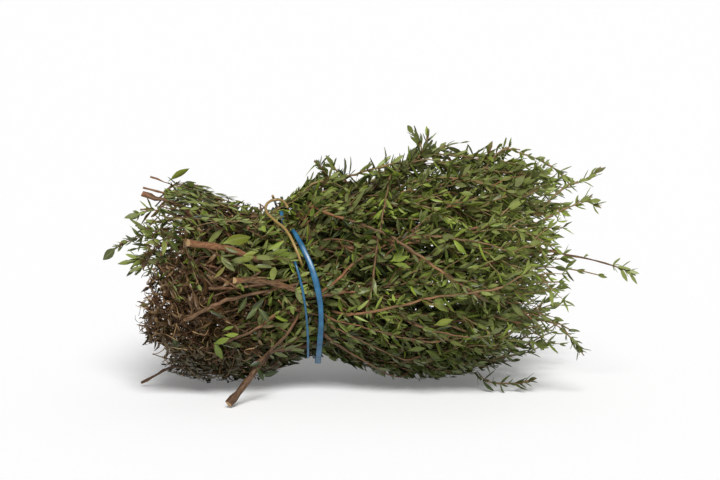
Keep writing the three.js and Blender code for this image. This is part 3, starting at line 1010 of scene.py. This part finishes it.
def leaf_shape(name, outline, width, bend, roll, twist):
    """A leaf one unit long, from its stalk at the origin along +Z, with its upper face towards -X.

    Each place along it has a left edge, an upper middle, a right edge and a lower middle.
    """
    vertices, along, across, under = [], [], [], []
    centre, angle, last = np.zeros(3), 0.0, 0.0
    for place, half in outline:
        centre = centre + (place - last) * np.array((math.sin(angle), 0, math.cos(angle)))
        angle, last = bend * place, place
        half *= width
        out = np.array((math.cos(angle), 0, -math.sin(angle)))
        turn = twist * place
        wide = math.cos(turn) * np.array((0, 1.0, 0)) + math.sin(turn) * out
        drop = roll * half
        for sideways, lift, below in ((-half, drop, 0.5), (0, -LEAF_THICKNESS / 2, 0), (half, drop, 0.5),
                                      (0, LEAF_THICKNESS / 2, 1)):
            vertices.append(centre + wide * sideways + out * lift)
            along.append(place)
            across.append(sideways / half)
            under.append(below)
    tip = centre + (1 - last) * np.array((math.sin(angle), 0, math.cos(angle)))
    vertices.append(tip)
    along.append(1.0)
    across.append(0.0)
    under.append(0.5)
    faces = [(0, 1, 2, 3)]
    rows = len(outline)
    for row in range(rows - 1):
        for i in range(4):
            a, b = row * 4 + i, row * 4 + (i + 1) % 4
            faces.append((a, a + 4, b + 4, b))
    top = (rows - 1) * 4
    faces += [(top + i, len(vertices) - 1, top + (i + 1) % 4) for i in range(4)]
    mesh = mesh_of(name, vertices, faces)
    mesh.shade_smooth()
    tip_number = len(vertices) - 1
    for edge in mesh.edges:
        near, far = sorted(edge.vertices)
        runs_along = far - near == 4 or far == tip_number
        edge.use_edge_sharp = runs_along and near % 4 in (0, 2)
    for key, values in (("leaf_along", along), ("leaf_across", across), ("leaf_under", under)):
        give_values(mesh, key, values)
    return bpy.data.objects.new(name, mesh)


def leaf_collection(name, outline, widths=((0.18, 0.29), (0.29, 0.39)), bends=(-0.25, 0.75),
                    rolls=(0.1, 0.75), twists=(-0.5, 0.5)):
    """Six narrow leaf shapes and then six broad ones, in a collection that is not part of the scene."""
    shapes = bpy.data.collections.new(name)
    chance = np.random.RandomState(LEAF_SHAPE_SEED)
    for kind, (narrowest, widest) in enumerate(widths):
        for i in range(LEAF_SHAPES_EACH):
            width = narrowest + (widest - narrowest) * i / (LEAF_SHAPES_EACH - 1)
            shape = leaf_shape(
                f"{name}_{kind * LEAF_SHAPES_EACH + i:02d}", outline, width,
                bend=chance.uniform(*bends), roll=chance.uniform(*rolls), twist=chance.uniform(*twists))
            shapes.objects.link(shape)
    return shapes


def leaf_tree():
    """Pairs of leaves along every shoot, each pair square to the last, with small leaves in their axils."""
    tree, bench = geometry_tree("Thyme leaves", {
        "Spacing": ("Float", LEAF_SPACING), "Leaf length": ("Float", LEAF_LENGTH),
        "Leaves at a node": ("Int", 4), "Turn between nodes": ("Float", math.pi / 2), "Seed": ("Int", 0),
        "Shapes": ("Collection", None), "Material": ("Material", None)})
    given = bench.add("NodeGroupInput").outputs
    seed = given["Seed"]

    def seeded(number):
        return bench.plus(seed, float(number))

    curves = bench.out("GeometryNodeMeshToCurve", {"Mesh": given["Geometry"]})
    seats = bench.add("GeometryNodeCurveToPoints", {"Curve": curves, "Length": given["Spacing"]},
                      mode="LENGTH").outputs
    points = bench.store(seats["Points"], "heading", seats["Tangent"], data_type="FLOAT_VECTOR")
    number = bench.out("GeometryNodeInputIndex")
    points = bench.store(points, "turned", bench.math("MODULO", number, 2.0))
    bare = bench.out("FunctionNodeCompare", {0: bench.chance(0.0, 1.0, seed), 1: bench.named("leafy")},
                     data_type="FLOAT", operation="GREATER_THAN")
    points = bench.out("GeometryNodeDeleteGeometry", {"Geometry": points, "Selection": bare}, domain="POINT")
    amount = given["Leaves at a node"]
    copies = bench.add("GeometryNodeDuplicateElements", {"Geometry": points, "Amount": amount},
                       domain="POINT").outputs
    points = bench.store(copies["Geometry"], "copy", copies["Duplicate Index"])
    copy = bench.named("copy")
    small = bench.math("GREATER_THAN", copy, 1.5)  # the first two are the pair, the rest sit in its axils
    sideways = bench.times(bench.math("MODULO", copy, 2.0), math.pi)
    azimuth = bench.scaled(bench.named("turned"), given["Turn between nodes"], sideways)
    azimuth = bench.plus(azimuth, bench.named("facing"))
    jitter = bench.times(bench.chance(-0.35, 0.35, seeded(11)), bench.scaled(small, 3.0, 1.0))
    azimuth = bench.plus(azimuth, jitter)
    spread = bench.times(bench.named("spread"), bench.chance(0.6, 1.45, seeded(12)))
    spread = bench.times(spread, bench.scaled(small, -0.3, 1.0))
    heading = bench.named("heading", "FLOAT_VECTOR")
    rotation = bench.out("FunctionNodeAlignRotationToVector", {"Vector": heading}, axis="Z")
    rotation = bench.turn(rotation, (0, 0, 1), azimuth)
    rotation = bench.turn(rotation, (0, 1, 0), spread)
    rotation = bench.turn(rotation, (0, 0, 1), bench.chance(-0.7, 0.7, seeded(13)))
    size = bench.times(bench.named("leaf_size"), bench.chance(0.75, 1.2, seeded(14)))
    size = bench.times(size, bench.scaled(small, -0.32, 1.0))
    size = bench.times(size, given["Leaf length"])
    broad = bench.math("LESS_THAN", bench.chance(0.0, 1.0, seeded(15)), bench.named("broad"))
    shape = bench.scaled(broad, float(LEAF_SHAPES_EACH), bench.pick(0, LEAF_SHAPES_EACH - 1, seeded(16)))
    shapes = bench.out("GeometryNodeCollectionInfo", {
        "Collection": given["Shapes"], "Separate Children": True, "Reset Children": True})
    leaves = bench.out("GeometryNodeInstanceOnPoints", {
        "Points": points, "Instance": shapes, "Pick Instance": True, "Instance Index": shape,
        "Rotation": rotation, "Scale": size})
    leaves = bench.store(leaves, "leaf_chance", bench.chance(0.0, 1.0, seeded(17)), domain="INSTANCE")
    bench.give_out(leaves, given["Material"])
    return tree


def stem_tree():
    """Round stems along every shoot, with knobbly bark on the thick ones."""
    tree, bench = geometry_tree("Thyme stems", {
        "Thickness": ("Float", 1.0), "Sides": ("Int", 7), "Bark relief": ("Float", 0.3),
        "Material": ("Material", None)})
    given = bench.add("NodeGroupInput").outputs
    curves = bench.out("GeometryNodeMeshToCurve", {"Mesh": given["Geometry"]})
    travelled = bench.add("GeometryNodeSplineParameter").outputs["Length"]
    curves = bench.store(curves, "stem_along", travelled)
    place = bench.out("GeometryNodeInputPosition")
    ring = bench.out("GeometryNodeCurvePrimitiveCircle", {"Resolution": given["Sides"], "Radius": 1.0})
    ring = bench.store(ring, "stem_round", place, data_type="FLOAT_VECTOR")
    radius = bench.times(bench.named("girth"), given["Thickness"])
    stems = bench.out("GeometryNodeCurveToMesh", {
        "Curve": curves, "Profile Curve": ring, "Scale": radius, "Fill Caps": True})
    lumps = bench.out("ShaderNodeTexNoise", {"Vector": place, "Scale": 420.0, "Detail": 2.0})
    high = bench.math("SUBTRACT", lumps, 0.5)
    woody = bench.times(bench.named("girth"), given["Bark relief"])
    height = bench.times(bench.times(high, woody), 6.0)
    offset = bench.out("ShaderNodeVectorMath", {0: bench.out("GeometryNodeInputNormal"), "Scale": height},
                       operation="SCALE")
    stems = bench.out("GeometryNodeSetPosition", {"Geometry": stems, "Offset": offset})
    stems = bench.out("GeometryNodeSetShadeSmooth", {"Geometry": stems})
    bench.give_out(stems, given["Material"])
    return tree


# ---------------------------------------------------------------- materials


# Between these heights the bundle's foot is darkened with painted shade, darkest below the lower one.
FOOT_SHADE_UP_TO, FOOT_SHADE_DARKEST_BELOW = 46 * MM, 6 * MM


def new_material(name):
    material = bpy.data.materials.new(name)
    material.use_nodes = True
    material.node_tree.nodes.clear()
    return material, Bench(material.node_tree)


def painted_foot_shade(bench):
    """1 at the bundle's foot and 0 from halfway up: the mask of the painted shade that darkens what lies low,
    towards the ground.
    """
    height = bench.add("ShaderNodeSeparateXYZ", {0: bench.place()}).outputs["Z"]
    return bench.stepped(height, FOOT_SHADE_UP_TO, FOOT_SHADE_DARKEST_BELOW)


def leaf_material(settings, name="thyme_leaf"):
    material, bench = new_material(name)
    patch, fleck = bench.noise(46.0), bench.noise(900.0)
    chance, tone = bench.value("leaf_chance"), bench.value("tone")
    mood = bench.plus(bench.times(patch, 0.95), bench.times(chance, 0.6))
    yellow = bench.times(bench.stepped(tone, 0.5, 0.95), bench.stepped(chance, 0.0, 0.9))
    tinged = bench.rest(bench.stepped(tone, 0.04, 0.26))
    fresh = bench.stepped(bench.value("green"), 0.35, 1.0)
    rib = bench.rest(bench.stepped(bench.math("ABSOLUTE", bench.value("leaf_across")), 0.02, 0.30))
    stalk = bench.rest(bench.stepped(bench.value("leaf_along"), 0.05, 0.32))
    below = bench.stepped(bench.value("leaf_under"), 0.48, 0.56)
    fate = bench.math("FRACT", bench.times(chance, 7.31))
    dying = bench.stepped(bench.math("SUBTRACT", bench.value("dry"), fate), -0.06, 0.06)
    worn = bench.scaled(chance, 0.5, bench.times(fleck, 0.5))
    dead = bench.layered(settings.dead, (bench.stepped(worn, 0.40, 0.75), settings.faded))
    bench.surface({
        "Base Color": bench.layered(
            settings.dark,
            (bench.stepped(mood, 0.52, 0.94), settings.green),
            (bench.stepped(mood, 0.78, 1.05), settings.bright),
            (bench.times(yellow, 0.8), settings.olive),
            (bench.times(tinged, 0.7), settings.purple),
            (bench.times(fresh, 0.65), settings.bright),
            (bench.times(rib, 0.35), settings.under),
            (bench.times(stalk, 0.4), settings.bright),
            (bench.times(below, 0.6), settings.under),
            (dying, dead),
            (bench.times(bench.stepped(fleck, 0.5, 0.75), 0.25), settings.dark),
            # Painted shade: the old leaf green laid over the leaves that lie low at the bundle's foot.
            (bench.times(painted_foot_shade(bench), 0.72), settings.dark)),
        "Roughness": bench.scaled(fleck, 0.22, 0.28), "Specular IOR Level": 0.36,
        "Normal": bench.bump(fleck, 0.35, 0.1 * MM)})
    return material


def stem_material(settings):
    material, bench = new_material("thyme_stem")
    around = bench.add("ShaderNodeAttribute", attribute_name="stem_round").outputs["Vector"]
    along = bench.times(bench.value("stem_along"), 160.0)
    stretched = bench.out("ShaderNodeCombineXYZ", {2: along})
    grain_place = bench.out("ShaderNodeVectorMath", {0: around, 1: stretched}, operation="ADD")
    grain = bench.out("ShaderNodeTexNoise", {"Vector": grain_place, "Scale": 2.6, "Detail": 4.0})
    age = bench.scaled(bench.value("dry"), 0.62, bench.times(bench.value("tone"), 0.25))
    bench.surface({
        "Base Color": bench.layered(
            settings.red,
            (bench.stepped(bench.plus(bench.noise(60.0), age), 0.44, 0.72), settings.bark),
            (bench.stepped(bench.value("green"), 0.25, 0.95), settings.young),
            (bench.times(bench.stepped(grain, 0.46, 0.66), 0.45), settings.bark),
            (bench.times(bench.stepped(grain, 0.60, 0.42), 0.25), settings.cut),
            # Painted shade: old bark brown laid over the stems that lie low at the bundle's foot.
            (bench.times(painted_foot_shade(bench), 0.5), settings.bark),
            (bench.stepped(bench.value("cut"), 0.96, 0.99), settings.cut)),
        "Roughness": bench.scaled(grain, 0.3, 0.45), "Specular IOR Level": 0.3,
        "Normal": bench.bump(grain, 0.7, 0.15 * MM)})
    return material


def fibre_material(settings):
    material, bench = new_material("dry_fibre")
    colour = bench.layered(
        settings.bark,
        (bench.stepped(bench.value("tone"), 0.45, 0.95), settings.cut),
        (bench.stepped(bench.noise(300.0), 0.4, 0.7), settings.bark))
    bench.surface({"Base Color": colour, "Roughness": 0.75, "Specular IOR Level": 0.2})
    return material


def elastic_material(name, base, gain, glow=0.0):
    """Elastic with lighter patches, which are the base colour times a gain, plus a glow."""
    material, bench = new_material(name)
    patch = bench.noise(240.0, 3.0)
    lighter = tuple(min(1, gain * value + glow) for value in base)
    bench.surface({
        "Base Color": bench.layered(base, (bench.stepped(patch, 0.35, 0.7), lighter)),
        "Roughness": bench.scaled(patch, 0.2, 0.2),
        "Normal": bench.bump(bench.noise(1400.0), 0.25, 0.08 * MM)})
    return material


# ---------------------------------------------------------------- the tie


WAIST_HEIGHT = skin_at(WAIST_X)[0]  # the height of the bundle's middle line there


def round_waist(places):
    """The angle in radians, from the front over the top, and the distance from the waist's middle."""
    over = places[:, 2] - WAIST_HEIGHT
    return np.arctan2(over, -places[:, 1]), np.hypot(over, places[:, 1])


def draw_in(places, share):
    """Moves places to a share of their distance from the waist's middle."""
    places[:, 1] *= share
    places[:, 2] = WAIST_HEIGHT + (places[:, 2] - WAIST_HEIGHT) * share


def strand_ring(node, count=96, reach=math.radians(6), smoothed=9):
    """Places round a packed strand at even angles from the front, as (angle, x, distance from the middle)."""
    corners = places_of(NODES[node].data)
    angle, radius = round_waist(corners)
    found = []
    for turn in np.linspace(-math.pi, math.pi, count, endpoint=False):
        near = np.abs((angle - turn + math.pi) % (2 * math.pi) - math.pi) < reach
        found.append((turn, corners[near, 0].mean(), radius[near].mean()))
    found = np.array(found)
    overlap = smoothed // 2
    for column in (1, 2):
        wrapped = np.concatenate((found[-overlap:, column], found[:, column], found[:overlap, column]))
        found[:, column] = np.convolve(wrapped, np.ones(smoothed) / smoothed, "valid")
    return found


STRAND_RINGS = {name: strand_ring(name) for name in ("blue_band_wide_turn", "blue_band_thin_turn")}
SUNK_DEPTH, SUNK_BELOW = 12 * MM, 2.8 * MM  # how far a strand sinks in where leaves cover it, above and below
# The stretches of each strand that lie bare, in degrees from the front over the top; leaves cover the rest.
BARE_STRETCHES = {"blue_band_wide_turn": ((-66, 44), (58, 62), (130, 180), (-180, -100)),
                  "blue_band_thin_turn": ((-56, 20), (130, 180), (-180, -100))}
# The groove under a bare strand: half the width of its floor, the slope of its sides, how far they reach, and
# how much higher the floor is for each degree past the bare stretch, up to a number of degrees.
GROOVE_FLOOR, GROOVE_SLOPE, GROOVE_SIDE = 1.3 * MM, 0.8, 9 * MM
GROOVE_RISE, GROOVE_RISE_UP_TO = 1.2 * MM, 10


def covered_by(name, angle):
    """How many degrees past the nearest bare stretch of a strand an angle lies, negative inside one."""
    return np.min([np.maximum(low - angle, angle - high) for low, high in BARE_STRETCHES[name]], axis=0)


def press_under_strands(places, margin):
    """Pushes leaves and stems in under the bare strands, in a groove that opens out on both sides."""
    angle, radius = round_waist(places)
    for name, ring in STRAND_RINGS.items():
        turns = np.append(ring[:, 0], math.pi)
        strand_x = np.interp(angle, turns, np.append(ring[:, 1], ring[0, 1]))
        strand_radius = np.interp(angle, turns, np.append(ring[:, 2], ring[0, 2]))
        beside = np.maximum(np.abs(places[:, 0] - strand_x) - GROOVE_FLOOR, 0)
        covered = np.clip(covered_by(name, np.degrees(angle)), 0, GROOVE_RISE_UP_TO)
        limit = strand_radius - margin + beside * GROOVE_SLOPE + covered * GROOVE_RISE
        pressed = (beside < GROOVE_SIDE) & (radius > limit)
        share = np.where(pressed, limit / np.maximum(radius, 1e-9), 1)
        draw_in(places, share)
        radius = radius * share
    return places


# The lengths up to which a sprig's cut end lies on the ground, clear of the bundle, and isn't pressed.
FREE_STUBS = outer_sprigs({3: -80 * MM, 4: -43 * MM})


def press_underside(places, from_x=-FAR, to_x=FAR):
    """Presses what hangs below the bundle's rounded underside between two lengths back towards it.

    The underside is set back more at the cut end, and rises towards the tips.
    """
    angle, share = bundle_coordinates(places)
    below = np.clip(-np.sin(np.radians(angle)), 0, 1)
    set_back = falling(places[:, 0], -70 * MM, 12 * MM)
    rise = rising(places[:, 0], 22 * MM, 28 * MM)
    limit = 1.06 - (0.14 + 0.12 * set_back + 0.08 * rise) * below
    over = (share > limit) & (places[:, 0] > from_x) & (places[:, 0] < to_x) & (angle < 0)
    pressed = in_bundle(places[:, 0], angle, limit + 0.25 * (share - limit))
    return np.where(over[:, None], pressed, places)


# Lengths in millimetres and how far the top reaches there, as a share of its radius: 1.5 holds nothing down.
TOP_LIMITS = ((-94, 1.5), (-89, 1.01), (-82, 0.96), (-60, 0.97), (-45, 1.0), (-33, 1.02), (-29, 1.06),
              (-25, 1.2), (-21, 1.5), (27, 1.5), (28, 1.06), (45, 1.06), (48, 1.5))


def press_top(places):
    """Presses what stands up from the top back towards it."""
    angle, share = bundle_coordinates(places)
    steps, limits = np.transpose(TOP_LIMITS)
    limit = np.interp(places[:, 0], steps * MM, limits)
    over = (share > limit) & (np.abs(angle - 90) < 50)
    pressed = in_bundle(places[:, 0], angle, limit + 0.3 * (share - limit))
    return np.where(over[:, None], pressed, places)


SECTION_CORNERS = 12


def squared_off(wave):
    """Turns a circle's sine or cosine to that of a rounded square."""
    return np.sign(wave) * np.abs(wave) ** 0.6


def strand_mesh(name, path, across, up, width, thickness):
    """A closed strand with a rounded flat section: across and up are unit vectors at each of its places."""
    turns = np.arange(SECTION_CORNERS) * 2 * math.pi / SECTION_CORNERS
    flat, tall = squared_off(np.cos(turns)), squared_off(np.sin(turns))
    vertices = (path[:, None] + across[:, None] * (flat[None, :, None] * width[:, None, None] / 2)
                + up[:, None] * (tall[None, :, None] * thickness / 2)).reshape(-1, 3)
    faces = []
    for row in range(len(path)):
        this, after = row * SECTION_CORNERS, (row + 1) % len(path) * SECTION_CORNERS
        for i in range(SECTION_CORNERS):
            j = (i + 1) % SECTION_CORNERS
            faces.append((this + i, this + j, after + j, after + i))
    return mesh_of(name, vertices, faces)


def rework(mesh, change):
    """Lets a function change a mesh in bmesh."""
    work = bmesh.new()
    work.from_mesh(mesh)
    change(work)
    work.to_mesh(mesh)
    work.free()


def build_pale_strand(material, depth=10 * MM):
    """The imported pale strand, sunk in at the lower front where leaves hide it."""
    mesh = NODES["pale_band"].data.copy()
    rework(mesh, lambda work: bmesh.ops.remove_doubles(work, verts=work.verts, dist=0.01 * MM))
    places = places_of(mesh)
    angle, radius = round_waist(places)
    angle = np.degrees(angle)
    sunk = falling(angle, 23, 12) * rising(angle, -110, 20)
    draw_in(places, 1 - depth * sunk / radius)
    keep_places(mesh, places)
    mesh.materials.clear()
    mesh.materials.append(material)
    mesh.shade_smooth()
    return in_scene("pale_strand", mesh)


def build_blue_strand(node, name, width, thickness, material):
    """A turn of the blue band along its packed strand: uneven in width, and narrowed where it is twisted."""
    turn, x, radius = STRAND_RINGS[node].T
    depth = np.where(np.sin(turn) > 0, SUNK_DEPTH, SUNK_BELOW)
    radius = radius - depth * np.clip(covered_by(node, np.degrees(turn)) / 4 + 0.1, 0, 1)
    path = np.column_stack((x, -radius * np.cos(turn), WAIST_HEIGHT + radius * np.sin(turn)))
    up = np.column_stack((np.zeros(len(turn)), -np.cos(turn), np.sin(turn)))
    heading = unit(np.roll(path, -1, axis=0) - np.roll(path, 1, axis=0))
    across = unit(np.cross(heading, up))
    wave = 1 + 0.06 * np.sin(5 * turn) + 0.05 * np.sin(11 * turn + 1)
    twisted = 1 - 0.4 * hump(turn, math.radians(50), math.radians(20))
    mesh = strand_mesh(name, path, across, up, width * wave * twisted, thickness)
    mesh.shade_smooth()
    mesh.materials.append(material)
    rework(mesh, lambda work: bmesh.ops.recalc_face_normals(work, faces=work.faces))
    return in_scene(name, mesh)


# ---------------------------------------------------------------- operators


FLOOR_REACH, FLOOR_GLOW, ROOM_LIGHT = 30.0, 0.17, 0.13
AIM_FROM_MIDDLE = (-5 * MM, 0, 61 * MM)  # what the camera looks at, from the middle of the bundle's foot
SENSOR_WIDTH = 36
# Each light's name, direction, strength and breadth in radians.
SOFT_LIGHTS = (("front", (0.12, -1.0, 1.0), 3.5, 0.45), ("low_front", (0.1, -1.0, 0.25), 0.25, 0.6),
               ("rear", (0.2, 0.9, 1.0), 0.27, 1.2))
STEM_MARGIN, LEAF_MARGIN = 0.9 * MM, 0.6 * MM  # how far under a strand stems and leaves are pressed
SHOWN_SIDES, HIDDEN_SIDES, FIBRE_SIDES = 6, 4, 4  # of the stems of outer sprigs, of the others and of fibres
WIDE_TURN, THIN_TURN, BAND_THICKNESS = 2.3 * MM, 0.95 * MM, 0.9 * MM


class THYME_OT_set_stage(bpy.types.Operator):
    """Lays the floor, sets the soft lights and places the camera"""

    bl_idname = "thyme.set_stage"
    bl_label = "Set the stage"

    def execute(self, context):
        settings = context.scene.thyme_stage
        reach = FLOOR_REACH
        corners = [(-reach, -reach, 0), (reach, -reach, 0), (reach, reach, 0), (-reach, reach, 0)]
        floor = in_scene("floor", mesh_of("floor", corners, [(0, 1, 2, 3)]))
        material, bench = new_material("pale_floor")
        bench.surface({
            "Base Color": settings.floor, "Roughness": 0.9, "Specular IOR Level": 0.0,
            "Emission Color": settings.floor, "Emission Strength": FLOOR_GLOW})
        floor.data.materials.append(material)
        context.scene.world = studio_world(ROOM_LIGHT)
        for name, towards, strength, breadth in SOFT_LIGHTS:
            add_soft_light(name, towards, strength, breadth)
        context.scene.view_settings.view_transform = "Standard"
        low, high = map(Vector, CAD_BOX)
        aim = Vector((low.x + high.x, low.y + high.y, 0)) / 2 + Vector(AIM_FROM_MIDDLE)
        camera = bpy.data.cameras.new("camera")
        camera.sensor_width = SENSOR_WIDTH
        camera.lens = camera.sensor_width * settings.distance / settings.view_width
        eye = bpy.data.objects.new("camera", camera)
        context.scene.collection.objects.link(eye)
        back = Vector((0, -math.cos(settings.elevation), math.sin(settings.elevation)))
        eye.location = aim + back * settings.distance
        eye.rotation_euler = (-back).to_track_quat("-Z", "Y").to_euler()
        context.scene.camera = eye
        return {"FINISHED"}


def studio_world(strength):
    """Even white light from all round, and a white backdrop behind the floor."""
    world = bpy.data.worlds.new("studio")
    world.use_nodes = True
    world.node_tree.nodes.clear()
    bench = Bench(world.node_tree)
    straight = bench.add("ShaderNodeLightPath").outputs["Is Camera Ray"]
    seen = bench.scaled(straight, 1.0 - strength, strength)
    backdrop = bench.out("ShaderNodeBackground", {"Color": (1, 1, 1), "Strength": seen})
    bench.add("ShaderNodeOutputWorld", {"Surface": backdrop})
    return world


def add_soft_light(name, towards, strength, breadth):
    """A broad far light in the given direction, as from a large studio softbox."""
    light = bpy.data.lights.new(name, "SUN")
    light.energy = strength
    light.angle = breadth
    lamp = bpy.data.objects.new(name, light)
    lamp.rotation_euler = Vector(towards).to_track_quat("Z", "Y").to_euler()
    bpy.context.scene.collection.objects.link(lamp)


class THYME_OT_grow_sprigs(bpy.types.Operator):
    """Grows the stems and leaves of every sprig"""

    bl_idname = "thyme.grow_sprigs"
    bl_label = "Grow the sprigs"

    def execute(self, context):
        settings = context.scene.thyme_leaf
        leaf, stem = leaf_material(settings), stem_material(context.scene.thyme_stem)
        full = leaf_collection("leaf", FULL_LEAF)
        simple = leaf_collection("hidden_leaf", SIMPLE_LEAF)
        broad = leaf_collection("placed_leaf", PLACED_LEAF, widths=((0.26, 0.36), (0.26, 0.38)),
                                bends=(-0.2, 0.6), rolls=(0.05, 0.5), twists=(-0.4, 0.4))
        leaves_along, stems_along = leaf_tree(), stem_tree()
        for number, name in enumerate(SPRIG_NAMES):
            shown = name in OUTER_NAMES
            skeleton = plan_sprig(name, number).to_object("skeleton_" + name)
            stems = run_tree(stems_along, skeleton, name + "_stems", Material=stem,
                             Sides=SHOWN_SIDES if shown else HIDDEN_SIDES)
            leaves = run_tree(
                leaves_along, skeleton, name + "_leaves", Seed=number * SEED_STEP, Material=leaf,
                Shapes=full if shown else simple, Spacing=settings.spacing,
                Leaf_length=settings.length * (1 if shown else HIDDEN_LEAF_SIZE))
            tip_x = OWN_TIPS[name][0][0] * MM if name in OWN_TIPS else FAR
            for piece, margin, slot, from_x in ((stems, STEM_MARGIN, "stems", FREE_STUBS.get(name, -FAR)),
                                                (leaves, LEAF_MARGIN, "leaves", -FAR)):
                places = press_top(press_underside(places_of(piece.data), from_x, tip_x))
                keep_places(piece.data, clear_of_floor(press_under_strands(places, margin)))
                finish_piece(piece, slot, name)
            discard(skeleton)
            placed = plan_placed_leaves(name, settings.length)
            if placed:
                skeleton = placed.to_object("seats_" + name)
                leaves = run_tree(
                    leaves_along, skeleton, name + "_placed_leaves", Seed=number * SEED_STEP + PLACED_SEED,
                    Material=leaf, Shapes=broad, Spacing=ONE_LEAF_SPACING, Leaf_length=settings.length,
                    Leaves_at_a_node=1, Turn_between_nodes=0.0)
                finish_piece(leaves, "leaves", name)
                discard(skeleton)
        for shapes in (full, simple, broad):
            discard_shapes(shapes)
        return {"FINISHED"}


class THYME_OT_lay_tangle(bpy.types.Operator):
    """Lays the curled dry fibres and the dead leaves among the cut ends"""

    bl_idname = "thyme.lay_tangle"
    bl_label = "Lay the dry tangle"

    def execute(self, context):
        settings = context.scene.thyme_leaf
        fibre = fibre_material(context.scene.thyme_stem)
        dead = leaf_material(settings, "dead_leaf")
        lay_along(plan_tangle(), stem_tree(), "dry_tangle", Sides=FIBRE_SIDES, Material=fibre)
        curled = leaf_collection("dead_leaf", FULL_LEAF, widths=((0.12, 0.26), (0.2, 0.34)),
                                 bends=(0.8, 3.4), rolls=(0.5, 1.4), twists=(-1.6, 1.6))
        lay_along(
            plan_dead_leaves(), leaf_tree(), "dead_leaves", Seed=DEAD_SEED, Material=dead, Shapes=curled,
            Spacing=settings.spacing, Leaf_length=settings.length, Leaves_at_a_node=3)
        discard_shapes(curled)
        return {"FINISHED"}


def lay_along(plan, tree, name, **values):
    """A piece of the dry tangle, which stands for no packed sprig."""
    skeleton = plan.to_object("skeleton_" + name)
    piece = run_tree(tree, skeleton, name, **values)
    keep_places(piece.data, clear_of_floor(press_underside(places_of(piece.data))))
    finish_piece(piece, "dry_fibre")
    discard(skeleton)


def discard_shapes(shapes):
    discard(*shapes.objects)
    bpy.data.collections.remove(shapes)


class THYME_OT_stretch_bands(bpy.types.Operator):
    """Stretches the blue band's two turns and the pale band round the waist"""

    bl_idname = "thyme.stretch_bands"
    bl_label = "Stretch the bands"

    def execute(self, context):
        settings = context.scene.thyme_tie
        blue = elastic_material("blue_elastic", settings.blue, gain=1.6, glow=0.01)
        tan = elastic_material("pale_elastic", settings.tan, gain=1.3)
        wide = build_blue_strand("blue_band_wide_turn", "blue_band_wide", WIDE_TURN, BAND_THICKNESS, blue)
        finish_piece(wide, "blue_elastic", "blue_band_wide_turn")
        thin = build_blue_strand("blue_band_thin_turn", "blue_band_thin", THIN_TURN, BAND_THICKNESS, blue)
        finish_piece(thin, "blue_elastic", "blue_band_thin_turn")
        finish_piece(build_pale_strand(tan), "pale_elastic", "pale_band")
        return {"FINISHED"}


class THYME_PT_panel(bpy.types.Panel):
    bl_idname = "THYME_PT_panel"
    bl_label = "Thyme bundle"
    bl_space_type = "VIEW_3D"
    bl_region_type = "UI"
    bl_category = "Thyme"

    def draw(self, context):
        for operator in OPERATORS:
            self.layout.operator(operator.bl_idname)
        for group in SETTINGS:
            settings = getattr(context.scene, group)
            for name in settings.__annotations__:
                self.layout.prop(settings, name)


OPERATORS = (THYME_OT_set_stage, THYME_OT_grow_sprigs, THYME_OT_lay_tangle, THYME_OT_stretch_bands)
SETTINGS = {"thyme_leaf": ThymeLeafSettings, "thyme_stem": ThymeStemSettings, "thyme_tie": ThymeTieSettings,
            "thyme_stage": ThymeStageSettings}
CLASSES = (*SETTINGS.values(), *OPERATORS, THYME_PT_panel)


def register():
    for kind in CLASSES:
        bpy.utils.register_class(kind)
    for name, kind in SETTINGS.items():
        setattr(bpy.types.Scene, name, bpy.props.PointerProperty(type=kind))


def unregister():
    for name in SETTINGS:
        delattr(bpy.types.Scene, name)
    for kind in reversed(CLASSES):
        bpy.utils.unregister_class(kind)


def main():
    register()
    bpy.ops.thyme.set_stage()
    bpy.ops.thyme.grow_sprigs()
    bpy.ops.thyme.lay_tangle()
    bpy.ops.thyme.stretch_bands()
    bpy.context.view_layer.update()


if __name__ == "__main__":
    main()
